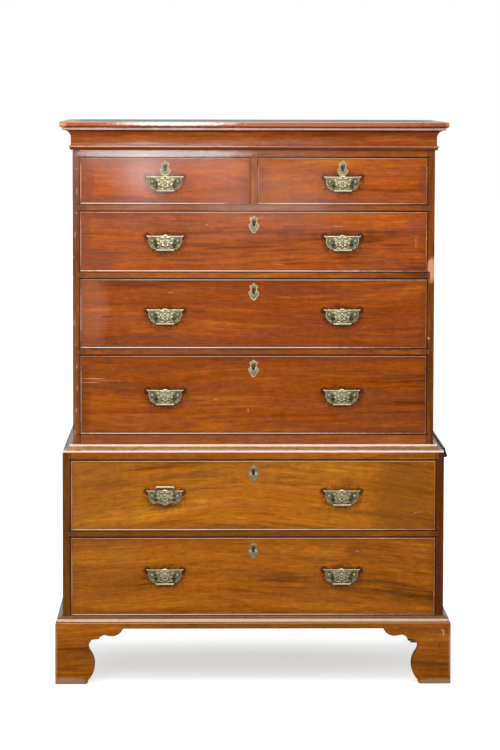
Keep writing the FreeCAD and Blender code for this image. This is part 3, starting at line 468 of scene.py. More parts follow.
# A painted glare: a pale haze along the left half of the top rail, where the polish mirrors the lamps.
painted_rail_glare = [(-0.27, 1.474, 0.27, 0.010, (0.32, 0.28, 0.28), 0.65)]
dress(mahogany("upper_rail_wood", "X", red_deep, red_middle, red_light, 12.7, figure=0.5, gloss=0.28,
               marks=upper_ends + upper_gaps + painted_rail_glare, ends=upper_opening, coat=0.062), "upper_drawer_rails")
dress(mahogany("muntin_wood", "Z", red_deep, red_middle, red_light, 5.9, gloss=0.3), "upper_muntin")
oak_deep = (0.19, 0.115, 0.055)
oak_light = (0.40, 0.27, 0.15)
pine_deep = (0.22, 0.135, 0.070)
pine_light = (0.42, 0.29, 0.17)
pine_across = bare_wood("pine_across", "X", pine_deep, pine_light, 2.0)
pine_upright = bare_wood("pine_upright", "Z", pine_deep, pine_light, 4.0)
oak_inward = bare_wood("oak_inward", "Y", oak_deep, oak_light, 6.0)
# The top board's grey-green is dust with a painted sheen, as the top looks when seen low across it.
top_dust_and_sheen = bare_wood("dusty_top_with_sheen", "X", (0.12, 0.18, 0.168), (0.21, 0.30, 0.28), 1.0)
dress(top_dust_and_sheen, "upper_top_board")
dress(pine_across, "upper_bottom_board", "upper_dustboards")
dress(oak_inward, "upper_drawer_runners")
dress(pine_upright, "upper_back_boards")

# --- The lower chest's carcase ----------------------------------------------------------------------------
# The same work in a browner, more golden mahogany. It stands 28 mm proud of the chest above it at the sides
# and the front. A plain bevelled strip, nearly black, is left nailed on at the waist on the right.
lower_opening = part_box("lower_side_right")[0].x
lower_seams = [(sign * (lower_opening + 0.0008), 0.4, 0.0015, 9.0, grime_and_shade, 0.88) for sign in (-1, 1)]
dress(mahogany("lower_side_left_wood", "Z", (0.050, 0.016, 0.004), (0.125, 0.038, 0.007),
               (0.240, 0.080, 0.016), 21.0, marks=lower_seams), "lower_side_left")
dress(mahogany("lower_side_right_wood", "Z", (0.040, 0.009, 0.001), (0.092, 0.019, 0.001),
               (0.18, 0.042, 0.004), 25.5, marks=lower_seams), "lower_side_right")
lower_ends, lower_gaps = rail_marks(("drawer_5", "drawer_6"), lower_opening, 0.5)
lower_gaps.pop()  # there is no rail under the lowest drawer
rail_shade = [(0.0, 0.4165, 9.0, 0.012, (0.06, 0.02, 0.004), 0.42)]
dress(mahogany("lower_rail_wood", "X", (0.140, 0.040, 0.008), (0.255, 0.066, 0.007), (0.39, 0.12, 0.015),
               30.2, figure=0.6, gloss=0.30, marks=rail_shade + lower_ends + lower_gaps, ends=lower_opening,
               plum=0.3), "lower_drawer_rails")
dress(pine_across, "lower_bottom_board", "lower_top_boards", "lower_dustboard")
dress(oak_inward, "lower_drawer_runners")
dress(pine_upright, "lower_back_boards", "foot_glue_blocks")
dress(mahogany("apron_wood", "X", (0.09, 0.026, 0.005), (0.215, 0.064, 0.009), (0.33, 0.11, 0.02), 33.0,
               figure=0.6, plum=0.3), "base_apron")
# The strip's near-black colour is partly its own dark wood and partly painted shade.
dress(mahogany("strip_wood", "Y", (0.010, 0.005, 0.003), (0.028, 0.012, 0.006), (0.06, 0.026, 0.012), 36.0,
               dust_and_sheen_share=0.2), "waist_side_strip")

# --- Mouldings --------------------------------------------------------------------------------------------
# Cornice, waist moulding and base moulding: each in three lengths, mitred at the front corners and planted
# on the case. Their arrises are rubbed and here and there chipped, most at the cornice's left end.
mm = 0.001
arc_middle = 0.293


def piece(name, points, faces, material, body, replaced=(), slot=None, smooth=35, clean=False):
    """A mesh as a finished piece that rides on a body and may stand for solids of the frame."""
    mesh = bpy.data.meshes.new(name)
    mesh.from_pydata([tuple(p) for p in points], [], [tuple(f) for f in faces])
    if clean:
        work = bmesh.new()
        work.from_mesh(mesh)
        bmesh.ops.remove_doubles(work, verts=work.verts, dist=1e-6)
        bmesh.ops.recalc_face_normals(work, faces=work.faces)
        work.to_mesh(mesh)
        work.free()
    mesh.materials.append(material)
    mesh.shade_smooth()
    mesh.set_sharp_from_angle(angle=math.radians(smooth))
    made = bpy.data.objects.new(name, mesh)
    scene.collection.objects.link(made)
    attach(made, body)
    if replaced:
        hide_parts(*replaced)
    return made


def rounded(start, steps, parts=8):
    """The points of a section: a step of two numbers is a straight line there, one of four is a round curve
    through the first pair to the second."""
    points = [Vector(start)]
    for step in steps:
        if len(step) == 4:
            a, b, c = points[-1].copy(), Vector(step[:2]), Vector(step[2:])
            d = 2 * (a.x * (b.y - c.y) + b.x * (c.y - a.y) + c.x * (a.y - b.y))
            aa, bb, cc = a.length_squared, b.length_squared, c.length_squared
            centre = Vector((
                (aa * (b.y - c.y) + bb * (c.y - a.y) + cc * (a.y - b.y)) / d,
                (aa * (c.x - b.x) + bb * (a.x - c.x) + cc * (b.x - a.x)) / d,
            ))
            first = math.atan2(a.y - centre.y, a.x - centre.x)
            middle = (math.atan2(b.y - centre.y, b.x - centre.x) - first) % math.tau
            last = (math.atan2(c.y - centre.y, c.x - centre.x) - first) % math.tau
            sweep = last if middle < last else last - math.tau
            radius = (a - centre).length
            for k in range(1, parts + 1):
                angle = first + sweep * k / parts
                points.append(centre + Vector((math.cos(angle), math.sin(angle))) * radius)
        else:
            points.append(Vector(step))
    return points


def softened(points, radius=0.5):
    """The section with each corner cut by a small flat, as hand work and wear leave it."""
    result = []
    for k, point in enumerate(points):
        before, after = points[k - 1] - point, points[(k + 1) % len(points)] - point
        bend = before.angle(after) if before.length > 1e-6 and after.length > 1e-6 else math.pi
        if bend < math.radians(150):
            result.append(point + before.normalized() * min(radius, before.length / 3))
            result.append(point + after.normalized() * min(radius, after.length / 3))
        else:
            result.append(point)
    return result


def moulding(name, section, half_width, front, back, foot, material, body, wear, chips=()):
    """A section in millimetres, (outward, up), carried round the left side, the front and the right side.
    Wear is how far its arrises are rubbed away; chips are hollows, each (x, y, z, size, depth)."""
    section = softened(section)
    reach = max(p.x for p in section)
    path = []
    side_steps, front_steps = 40, 150
    for k in range(side_steps):
        path.append((0, k / side_steps))
    for k in range(front_steps):
        path.append((1, k / front_steps))
    for k in range(side_steps + 1):
        path.append((2, k / side_steps))
    points = []
    for leg, t in path:
        for p in section:
            side, fore = half_width + p.x * mm, front - p.x * mm
            corners = [(-side, back), (-side, fore), (side, fore), (side, back)]
            x, y = Vector(corners[leg]).lerp(Vector(corners[leg + 1]), t)
            z = foot + p.y * mm
            edge = max(0.0, p.x / reach - 0.25)
            rub = wear * edge * (noise.noise(Vector((x * 45, y * 45, z * 160))) * 0.5 - 0.5)
            for *middle, size, depth in chips:
                near = 1 - min(1.0, math.dist((x, y, z), middle) / size)
                rub -= depth * near * (0.6 + 0.6 * noise.noise(Vector((x * 400, y * 400, z * 400))))
            nx, ny = [(1, 0), (0, 1), (-1, 0)][leg]
            if t == 0 and leg:
                nx, ny = (1, 1) if leg == 1 else (-1, 1)
            push = -rub if p.x > 0.5 else 0.0
            points.append((x + nx * push, min(y + ny * push, back), z))
    count = len(section)
    faces = []
    for s in range(len(path) - 1):
        for k in range(count):
            n = (k + 1) % count
            faces.append((s * count + k, s * count + n, (s + 1) * count + n, (s + 1) * count + k))
    last = (len(path) - 1) * count
    faces.append(tuple(range(count)))
    faces.append(tuple(last + k for k in reversed(range(count))))
    piece(name, points, faces, material, body, replaced=(name.replace("_run", ""),), clean=True)


low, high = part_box("cornice")
upper_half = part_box("upper_side_right")[1].x
case_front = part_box("upper_drawer_rails")[0].y
tall = (high.z - low.z) / mm
cove = 20.6
cove_top = tall - 23.0
cornice_section = rounded(
    (0, 0),
    [(6.6, 0.9), (7.4, 6.0), (9.0, 9.4, 7.4, 12.8), (4.8, 13.0), (4.8, cove_top - cove),
     (4.8 + cove * arc_middle, cove_top - cove * arc_middle, 4.8 + cove, cove_top), (28.0, cove_top),
     (28.0, tall - 15.5), (30.5, tall - 15.5), (34.9, tall - 13.4, 36.4, tall - 8.6), (36.4, tall - 3.2),
     (35.5, tall - 0.9, 33.5, tall), (0, tall)],
)
# Marks on the cornice: painted highlights in pale and lilac bands on the top member and the beads, strongest
# at the left; painted shade in the hollow under the top member, at the cove's top and along the bottom; a
# pale line along the top arris, rubbed and lit; and chips at both ends.
bead_highlight_lilac = (0.60, 0.42, 0.37)
cornice_rubs_and_painted_light = [
    (0, high.z - 0.0060, 0.60, 0.0090, (0.46, 0.15, 0.09), 0.52),
    (-0.22, high.z - 0.0050, 0.17, 0.0060, (0.84, 0.78, 0.73), 0.80),
    (0, high.z - 0.0003, 9.0, 0.0019, rub_and_highlight_pale, 0.45),
    (0, high.z - 0.0150, 9.0, 0.0019, grime_and_shade, 0.7),
    (0, high.z - 0.0195, 9.0, 0.0030, bead_highlight_lilac, 0.75),
    (0, high.z - 0.0250, 9.0, 0.0026, grime_and_shade, 0.65),
    (-0.25, low.z + 0.0105, 0.30, 0.0020, bead_highlight_lilac, 0.75),
    (0, low.z + 0.0105, 9.0, 0.0020, bead_highlight_lilac, 0.25),
    (0, low.z + 0.0040, 9.0, 0.0034, (0.07, 0.02, 0.006), 0.6),
    (0, low.z + 0.0008, 9.0, 0.0020, grime_and_shade, 0.85),
    (low.x, high.z - 0.0072, 0.024, 0.009, (0.66, 0.26, 0.12), 0.9),
    (high.x, high.z - 0.0052, 0.012, 0.006, (0.60, 0.22, 0.10), 0.6),
]
cornice_chips = [
    (low.x, low.y, high.z - 0.0032, 0.018, 0.0045),
    (-0.500, low.y, high.z - 0.0007, 0.012, 0.0020),
    (-0.470, low.y, high.z - 0.0007, 0.010, 0.0015),
    (high.x, low.y, high.z - 0.0022, 0.010, 0.0020),
]
cornice_wood = mahogany("cornice_wood", "X", red_deep, (0.256, 0.048, 0.011), (0.400, 0.096, 0.024), 41.0,
                        figure=0.4, gloss=0.27, dust_and_sheen_share=0.9, marks=cornice_rubs_and_painted_light, until=case_front - 0.002)
moulding("cornice_run", cornice_section, upper_half, case_front, high.y, low.z, cornice_wood, "upper_chest",
         0.0006, cornice_chips)

low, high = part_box("waist_moulding")
play = 0.001
waist_section = rounded(
    (0, 0),
    [(27, 0), (27, 4.2), (24.0, 4.2), (13.4, 7.4, 9.0, 15.0), (8.9, 18.6, 6.9, 20.0), (0, 20.0)],
)
# Two painted pink-white highlights along the waist moulding's rounds.
waist_highlight_pink = (0.96, 0.68, 0.58)
waist_painted_highlights = [(0, low.z + 0.0020, 0.99, 0.0036, waist_highlight_pink, 1.0),
              (0, low.z + 0.0180, 0.99, 0.0040, waist_highlight_pink, 0.8)]
side_dust_and_sheen = (0.075, 0.095, 0.086)
waist_wood = mahogany("waist_wood", "X", (0.175, 0.082, 0.066), (0.275, 0.138, 0.112), (0.40, 0.215, 0.175),
                      45.0, figure=0.4, gloss=0.25, dust_and_sheen_share=0.35, marks=waist_painted_highlights, plum=0.2,
                      until=case_front + 0.002, sides=side_dust_and_sheen)
waist_chips = [
    (high.x - 0.0005, low.y, low.z + 0.0035, 0.008, 0.0015),
    (-0.160, low.y, low.z + 0.0040, 0.006, 0.0010),
]
moulding("waist_moulding_run", waist_section, upper_half + play, case_front - play, high.y, low.z,
         waist_wood, "lower_chest", 0.0005, waist_chips)

low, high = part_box("base_moulding")
lower_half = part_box("lower_side_right")[1].x
lower_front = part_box("lower_side_right")[0].y
hollow = 13
base_section = rounded(
    (0, 0),
    [(19, 0), (19, 3.5), (17.75, 4.5),
     (17.75 - hollow * arc_middle, 17.5 - hollow * arc_middle, 4.75, 17.5), (3.5, 17.5), (3.5, 20), (0, 20)],
)
# Painted pink highlights along the base moulding's rounds, and painted shade in the hollows between them and
# along its top edge.
base_highlight_pink = (0.62, 0.40, 0.31)
base_highlights_and_shade = [(0, low.z + 0.0086, 0.99, 0.0044, base_highlight_pink, 0.95),
             (0, low.z + 0.0008, 0.99, 0.0015, base_highlight_pink, 0.7),
             (0, low.z + 0.0034, 9.0, 0.0014, (0.10, 0.035, 0.018), 0.75),
             (0, low.z + 0.0150, 9.0, 0.0026, (0.09, 0.035, 0.022), 0.65),
             (0, low.z + 0.0197, 9.0, 0.0016, grime_and_shade, 0.85)]
base_wood = mahogany("base_moulding_wood", "X", (0.13, 0.055, 0.030), (0.27, 0.125, 0.078),
                     (0.42, 0.22, 0.15), 49.0, figure=0.4, gloss=0.24, dust_and_sheen_share=0.35, marks=base_highlights_and_shade,
                     plum=0.2, until=lower_front + 0.002, sides=side_dust_and_sheen)
base_chips = [(low.x, low.y, low.z + 0.0035, 0.012, 0.002), (high.x, low.y, low.z + 0.0035, 0.010, 0.002)]
moulding("base_moulding_run", base_section, lower_half, lower_front, high.y, low.z, base_wood,
         "lower_chest", 0.0008, base_chips)

# --- Feet -------------------------------------------------------------------------------------------------
# Scroll bracket feet in mahogany: at each front corner two 28 mm boards, fretted to a belly, a neck and
# cusps and mitred together; at the back, a fretted one on the side and a plain one across behind it.
umber_brown = (0.10, 0.032, 0.006)
board_thick = 28
back_thick = 22
foot_section = rounded(
    (0, 0),
    [(85, 0), (90, 4.5), (91.5, 11.5), (109, 48, 97, 92), (92.2, 106, 97, 119.5), (100.5, 124, 106, 125.5),
     (120, 126.5), (127, 134, 136, 138), (150, 135.3, 160, 134.8), (176, 140.5, 188, 156), (188, 170),
     (0, 170)],
    parts=10,
)
foot_scuffs = [(-0.510, 0.006, 0.052, 0.014, (0.36, 0.25, 0.16), 0.55),
               (0.512, 0.005, 0.050, 0.012, (0.33, 0.23, 0.15), 0.5),
               (0.530, 0.143, 0.0019, 0.0095, (0.62, 0.33, 0.13), 0.7),
               (0.5265, 0.1515, 0.0042, 0.0017, (0.62, 0.33, 0.13), 0.6),
               (0.519, 0.109, 0.0022, 0.0100, (0.05, 0.016, 0.010), 0.6),
               (0.495, 0.075, 0.060, 0.075, umber_brown, 0.22),
               (0.5468, 0.085, 0.0018, 0.085, (0.36, 0.28, 0.20), 0.55),
               (-0.5468, 0.085, 0.0018, 0.085, (0.36, 0.28, 0.20), 0.5)]
foot_wood = mahogany("foot_wood", "X", (0.100, 0.027, 0.002), (0.268, 0.071, 0.005), (0.43, 0.134, 0.014),
                     53.0, figure=0.9, gloss=0.36, marks=foot_scuffs, plum=0.3, inward_shade=0.85,
                     until=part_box("foot_front_left")[0].y + 0.002)


def bracket(outline, thick, corner, inward, through, mitred=False):
    """Points and faces of one board of a foot. Its outline is in millimetres, (inward, up), from a corner
    on the floor; inward is the board's own direction and through is the way through its thickness."""
    upward = Vector((0, 0, 1))
    near, far = [], []
    for p in outline:
        inner = max(p.x, thick) if mitred else p.x
        near.append(corner + (inward * p.x + upward * p.y) * mm)
        far.append(corner + (inward * inner + through * thick + upward * p.y) * mm)
    count = len(outline)
    faces = [tuple(range(count)), tuple(count + k for k in reversed(range(count)))]
    for k in range(count):
        n = (k + 1) % count
        faces.append((k, count + k, count + n, n))
    return near + far, faces


def foot(name, boards, body):
    """Joins the boards of one foot and takes the sharpness off their edges."""
    points, faces = [], []
    for board_points, board_faces in boards:
        start = len(points)
        points += board_points
        faces += [tuple(start + k for k in face) for face in board_faces]
    made = piece(name + "_boards", points, faces, foot_wood, body, clean=True)
    edge = made.modifiers.new("worn_edges", "BEVEL")
    edge.width = 1.3 * mm
    edge.segments = 3
    edge.limit_method = "ANGLE"
    edge.angle_limit = math.radians(40)
    evaluated = made.evaluated_get(bpy.context.evaluated_depsgraph_get())
    finished = bpy.data.meshes.new_from_object(evaluated)
    made.modifiers.clear()
    made.data = finished
    finished.shade_smooth()
    finished.set_sharp_from_angle(angle=math.radians(40))
    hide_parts(name)


# The plain board starts just clear of the fretted one, so that no corner of one becomes part of the other.
start = board_thick + 0.05
plain = [Vector(p) for p in ((start, 0), (74, 0), (84, 30), (148, 132), (148, 170), (start, 170))]
to_back = Vector((0, 1, 0))
for word, sign in (("left", -1), ("right", 1)):
    inward = Vector((-sign, 0, 0))
    low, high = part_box("foot_front_" + word)
    corner = Vector((low.x if sign < 0 else high.x, low.y, 0))
    foot("foot_front_" + word, [
        bracket(foot_section, board_thick, corner, inward, to_back, True),
        bracket(foot_section, board_thick, corner, to_back, inward, True),
    ], "lower_chest")
    low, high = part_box("foot_rear_" + word)
    corner = Vector((low.x if sign < 0 else high.x, high.y, 0))
    foot("foot_rear_" + word, [
        bracket(foot_section, board_thick, corner, -to_back, inward),
        bracket(plain, back_thick, corner, inward, -to_back),
    ], "lower_chest")

# --- Drawer fronts ----------------------------------------------------------------------------------------
# Boards of mahogany with the grain lying along them, cut for the lock and for the keyhole, and no two quite
# alike. Round each runs a cockbead: a thin strip with a rounded nose, let in, mitred at the corners and
# standing proud.
drawers = [name for name in frame["bodies"] if name.startswith("drawer_")]
bails = {
    drawer: {
        joint["child"]: Vector(joint["pos_m"]) for joint in frame["joints"]
        if joint["type"] == "hinge" and joint["child"].startswith(drawer.replace("drawer", "bail"))
    }
    for drawer in drawers
}
bead_wide = 3.0 * mm
bead_proud = 1.8 * mm
bead_deep = 7.8 * mm

umber = (0.060, 0.018, 0.004)
speck = (0.60, 0.48, 0.36)
board_woods = {
    "drawer_1_left": dict(deep=(0.150, 0.022, 0.005), middle=(0.335, 0.056, 0.010),
                          light=(0.480, 0.115, 0.028), place=61.3, slant=0.010, gloss=0.30),
    "drawer_1_right": dict(deep=(0.150, 0.024, 0.004), middle=(0.340, 0.066, 0.010),
                           light=(0.475, 0.130, 0.026), place=64.8, slant=-0.012, gloss=0.30),
    "drawer_2": dict(deep=(0.120, 0.021, 0.005), middle=(0.330, 0.064, 0.014), light=(0.500, 0.122, 0.032),
                     place=67.1, slant=0.008, gloss=0.30),
    "drawer_3": dict(deep=(0.108, 0.019, 0.003), middle=(0.244, 0.045, 0.006), light=(0.380, 0.087, 0.014),
                     place=71.6, slant=-0.006, gloss=0.30),
    "drawer_4": dict(deep=(0.108, 0.020, 0.002), middle=(0.250, 0.048, 0.002), light=(0.380, 0.090, 0.006),
                     place=75.2, slant=0.010, gloss=0.31),
    "drawer_5": dict(deep=(0.150, 0.042, 0.004), middle=(0.368, 0.113, 0.012), light=(0.515, 0.190, 0.026),
                     place=79.9, slant=-0.020, bow=0.20, gloss=0.33, plum=0.22),
    "drawer_6": dict(deep=(0.112, 0.031, 0.003), middle=(0.300, 0.084, 0.008), light=(0.430, 0.142, 0.018),
                     place=84.4, slant=0.006, bow=0.07, gloss=0.33, plum=0.22),
}
plum_brown = (0.105, 0.030, 0.026)
scratch_pale = (0.66, 0.36, 0.20)
board_marks = {
    "drawer_1_left": [(-0.462, 1.400, 0.022, 0.060, plum_brown, 0.40),
                      (-0.300, 1.348, 0.180, 0.010, plum_brown, 0.35),
                      (-0.105, 1.413, 0.024, 0.0009, scratch_pale, 0.40),
                      (-0.090, 1.407, 0.020, 0.0008, scratch_pale, 0.35),
                      (-0.075, 1.401, 0.018, 0.0008, scratch_pale, 0.30),
                      (-0.030, 1.400, 0.018, 0.055, plum_brown, 0.25)],
    "drawer_1_right": [(0.030, 1.400, 0.016, 0.055, plum_brown, 0.30),
                       (0.468, 1.400, 0.012, 0.055, plum_brown, 0.35),
                       (0.180, 1.345, 0.120, 0.006, plum_brown, 0.25)],
    "drawer_2": [(-0.440, 1.180, 0.070, 0.036, plum_brown, 0.42),
                 (-0.466, 1.250, 0.018, 0.050, plum_brown, 0.35),
                 (-0.130, 1.278, 0.006, 0.0016, scratch_pale, 0.40),
                 (-0.118, 1.270, 0.003, 0.0012, scratch_pale, 0.40),
                 (0.235, 1.274, 0.016, 0.0009, scratch_pale, 0.45),
                 (0.070, 1.167, 0.020, 0.0011, scratch_pale, 0.35),
                 (0.455, 1.285, 0.030, 0.022, plum_brown, 0.30),
                 (0.450, 1.230, 0.0016, 0.018, scratch_pale, 0.25)],
    "drawer_3": [(-0.455, 1.040, 0.050, 0.120, (0.40, 0.19, 0.13), 0.20),
                 (-0.410, 1.022, 0.016, 0.0030, umber, 0.55), (-0.155, 1.037, 0.024, 0.0045, umber, 0.50),
                 (-0.230, 1.090, 0.008, 0.0011, scratch_pale, 0.50)],
    "drawer_4": [(-0.448, 0.8490, 0.036, 0.0012, chip, 0.60), (-0.452, 0.8385, 0.030, 0.0011, chip, 0.55),
                 (-0.400, 0.8435, 0.060, 0.0008, chip, 0.30), (-0.280, 0.765, 0.014, 0.024, umber, 0.22),
                 (-0.015, 0.760, 0.0011, 0.0070, speck, 0.55),
                 (-0.105, 0.792, 0.007, 0.0014, scratch_pale, 0.45),
                 (-0.466, 0.800, 0.014, 0.100, umber, 0.22)],
    "drawer_5": [(-0.420, 0.500, 0.110, 0.120, (0.13, 0.048, 0.012), 0.24),
                 (0.415, 0.525, 0.100, 0.130, (0.13, 0.043, 0.004), 0.52),
                 (0.452, 0.477, 0.0016, 0.0012, speck, 0.8), (0.462, 0.479, 0.0014, 0.0011, speck, 0.7),
                 (0.447, 0.475, 0.0011, 0.0009, speck, 0.6)],
    "drawer_6": [(-0.420, 0.300, 0.130, 0.120, (0.13, 0.048, 0.012), 0.22),
                 (0.278, 0.3700, 0.026, 0.017, umber, 0.38),
                 (0.289, 0.3690, 0.0065, 0.0040, (0.30, 0.20, 0.12), 0.5)],
}


def loose_parts(name):
    """A merged copy of a solid of the frame, parted into its own loose pieces, each as points and faces."""
    copy = bmesh.new()
    copy.from_mesh(nodes[name].data)
    bmesh.ops.remove_doubles(copy, verts=copy.verts, dist=1e-6)
    left = set(copy.verts)
    parts = []
    while left:
        start = left.pop()
        group, edge = {start}, [start]
        while edge:
            for link in edge.pop().link_edges:
                for vertex in link.verts:
                    if vertex in left:
                        left.remove(vertex)
                        group.add(vertex)
                        edge.append(vertex)
        order = {vertex: k for k, vertex in enumerate(group)}
        faces = {face for vertex in group for face in vertex.link_faces}
        parts.append(([v.co.copy() for v in order], [[order[v] for v in face.verts] for face in faces]))
    copy.free()
    return parts


def board_alone(name, low, high):
    """The board of a drawer front from a merged copy of its solids, without the cockbeads in its rebate."""
    copy = bmesh.new()
    copy.from_mesh(nodes[name].data)
    middle = (low + high) / 2
    heel = low.y + bead_deep
    near = 0.2 * mm
    waste = []
    for face in copy.faces:
        c = face.calc_center_median()
        inset = min(c.x - low.x, high.x - c.x, c.z - low.z, high.z - c.z) - bead_wide
        if c.y > heel + near or inset > near:
            continue
        ledge = face.normal.y < -0.5 and c.y > heel - near
        outward = face.normal.x * (c.x - middle.x) + face.normal.z * (c.z - middle.z) > 0
        wall = abs(inset) < near and abs(face.normal.y) < 0.5 and outward
        if not ledge and not wall:
            waste.append(face)
    bmesh.ops.delete(copy, geom=waste, context="FACES")
    bmesh.ops.remove_doubles(copy, verts=copy.verts, dist=1e-6)
    copy.verts.index_update()
    board = [v.co.copy() for v in copy.verts], [[v.index for v in face.verts] for face in copy.faces]
    copy.free()
    return board


def span(points):
    """Lowest and highest corner of some points."""
    return [Vector(pick(p[i] for p in points) for i in range(3)) for pick in (min, max)]


def keyhole_height(drawer):
    """The middle of a drawer's escutcheon, the one of its fittings that is tall and narrow."""
    for points, faces in loose_parts(drawer + "_fittings"):
        low, high = span(points)
        if high.z - low.z > 30 * mm and 20 * mm < high.x - low.x < 40 * mm:
            return (low.z + high.z) / 2


def mesh_tree(name, inputs):
    """A tree of geometry nodes that takes a mesh and gives one, with named inputs, each (name, kind)."""
    tree = bpy.data.node_groups.new(name, "GeometryNodeTree")
    tree.interface.new_socket("Geometry", in_out="INPUT", socket_type="NodeSocketGeometry")
    for label, kind in inputs:
        tree.interface.new_socket(label, in_out="INPUT", socket_type="NodeSocket" + kind)
    tree.interface.new_socket("Geometry", in_out="OUTPUT", socket_type="NodeSocketGeometry")
    return tree


def cockbead_tree():
    """Geometry nodes: a round-nosed strip along the edge of a drawer front, mitred at its corners."""
    tree = mesh_tree("cockbead", (("Width", "Float"), ("Height", "Float"), ("Bead width", "Float"),
                                  ("Bead depth", "Float"), ("Middle", "Vector"), ("Wood", "Material")))
    given = put(tree, "NodeGroupInput").outputs
    path = put(tree, "GeometryNodeCurvePrimitiveQuadrilateral", {
        "Width": sums(tree, "SUBTRACT", given["Width"], given["Bead width"]),
        "Height": sums(tree, "SUBTRACT", given["Height"], given["Bead width"]),
    }, mode="RECTANGLE").outputs[0]
    mitre = sums(tree, "MULTIPLY", given["Bead width"], math.sqrt(2))
    bead = {"Width": given["Bead width"], "Height": given["Bead depth"]}
    section = put(tree, "GeometryNodeCurvePrimitiveQuadrilateral", bead, mode="RECTANGLE").outputs[0]
    radius = sums(tree, "MULTIPLY", given["Bead width"], 0.49)
    nose = put(tree, "GeometryNodeFilletCurve", {0: section, "Radius": radius, "Count": 4}, mode="POLY")
    stretch = sums(tree, "DIVIDE", mitre, given["Bead width"])
    wide = put(tree, "ShaderNodeCombineXYZ", {0: stretch, 1: 1.0, 2: 1.0}).outputs[0]
    nose = put(tree, "GeometryNodeTransform", {0: nose.outputs[0], "Scale": wide}).outputs[0]
    strip = put(tree, "GeometryNodeCurveToMesh", {0: path, 1: nose}).outputs[0]
    upright = put(tree, "GeometryNodeTransform", {
        0: strip, "Translation": given["Middle"], "Rotation": (math.pi / 2, 0, 0),
    }).outputs[0]
    real = put(tree, "GeometryNodeRealizeInstances", {0: upright}).outputs[0]
    worn = put(tree, "GeometryNodeSetMaterial", {0: real, "Material": given["Wood"]}).outputs[0]
    put(tree, "NodeGroupOutput", {0: worn})
    return tree


def grown(name, tree, settings, body, smooth=40, points=()):
    """Runs a tree of geometry nodes once, on some points if it needs them, and keeps what it makes as a
    plain mesh that rides on a body."""
    start = bpy.data.meshes.new(name)
    start.from_pydata([tuple(p) for p in points], [], [])
    maker = bpy.data.objects.new(name, start)
    scene.collection.objects.link(maker)
    step = maker.modifiers.new("nodes", "NODES")
    step.node_group = tree
    sockets = {item.name: item.identifier for item in tree.interface.items_tree if item.in_out == "INPUT"}
    for label, value in settings.items():
        step[sockets[label]] = value
    result = bpy.data.meshes.new_from_object(maker.evaluated_get(bpy.context.evaluated_depsgraph_get()))
    maker.modifiers.clear()
    maker.data = result
    work = bmesh.new()
    work.from_mesh(result)
    bmesh.ops.recalc_face_normals(work, faces=work.faces)
    work.to_mesh(result)
    work.free()
    result.shade_smooth()
    result.set_sharp_from_angle(angle=math.radians(smooth))
    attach(maker, body)
    return maker


black = (0.006, 0.004, 0.003)
bead_highlight_cream = (0.86, 0.66, 0.52)
bead_wear_and_highlight = {
    "drawer_1_left": 0.75, "drawer_1_right": 0.55, "drawer_2": 0.75, "drawer_3": 0.75,
    "drawer_4": 0.50, "drawer_5": 0.45, "drawer_6": 0.45,
}
bead_follower = cockbead_tree()
for drawer in drawers:
    low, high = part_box(drawer + "_front")
    middle = Vector(((low.x + high.x) / 2, low.y + bead_deep / 2, (low.z + high.z) / 2))
    finish = board_woods[drawer]
    # A black oval on the board behind the escutcheon: painted shade for the depth of the keyhole.
    keyhole_shade = (middle.x, keyhole_height(drawer) - 0.003, 0.0074, 0.0132, black, 1.0)
    wood = mahogany(drawer + "_wood", "X", halo=next(iter(bails[drawer].values())), border=(low, high),
                    marks=[keyhole_shade] + board_marks[drawer], **finish)
    board = board_alone(drawer + "_front", low, high)
    piece(drawer + "_board", *board, wood, drawer, replaced=(drawer + "_front",), smooth=20)
    wear = bead_wear_and_highlight[drawer]
    reach = (high.x - low.x) / 2
    # Pale marks on the beads, wear with a painted highlight: along the bottom bead, the top bead and the
    # left upright, where light from above and the left catches them.
    worn = [(middle.x - reach * 0.25, low.z + bead_wide / 2, reach * 1.05, 0.0028, bead_highlight_cream, wear),
            (middle.x - reach * 0.55, low.z + bead_wide / 2, reach * 0.40, 0.0030, bead_highlight_cream, wear * 0.6),
            (middle.x, high.z - bead_wide / 2, reach * 1.1, 0.0024, bead_highlight_cream, wear * 0.45),
            (low.x, middle.z, 0.0036, (high.z - low.z) * 0.42, bead_highlight_cream, wear * 0.40)]
    bead_wood = mahogany(drawer + "_bead_wood", "X", finish["deep"], finish["middle"], (0.50, 0.20, 0.09),
                         finish["place"] + 0.5, figure=0.4, gloss=0.26, dust_and_sheen_share=0.15, rubbed_and_lit=0.14, marks=worn)
    grown(drawer + "_cockbead", bead_follower, {
        "Width": high.x - low.x, "Height": high.z - low.z, "Bead width": bead_wide, "Bead depth": bead_deep,
        "Middle": middle, "Wood": bead_wood,
    }, drawer)

# --- Drawer boxes -----------------------------------------------------------------------------------------
# Thin oak linings, dovetailed front and back, with a bottom let into grooves. They are bare, dry and a
# little greyed.
for number, drawer in enumerate(drawers):
    dress(bare_wood(drawer + "_oak", "Y", oak_deep, oak_light, 90.0 + 3.1 * number, True), drawer + "_box")

# --- Handles and escutcheons ------------------------------------------------------------------------------
# Cast and pierced brass: on each plate two turned posts hold a swan-neck bail by its pins, with square nuts
# inside the drawer. Rubbed bright on rims and bars, dark and greenish in the hollows.
plate_thick = 1.2 * mm
hollow_brass = (0.020, 0.019, 0.011)
middle_brass = (0.185, 0.165, 0.088)
plate_brass = (0.58, 0.505, 0.325)
bail_brass = (0.42, 0.385, 0.26)
post_brass = (0.185, 0.170, 0.110)
rim_brass = (0.46, 0.40, 0.28)
dull_rim_brass = (0.24, 0.20, 0.13)


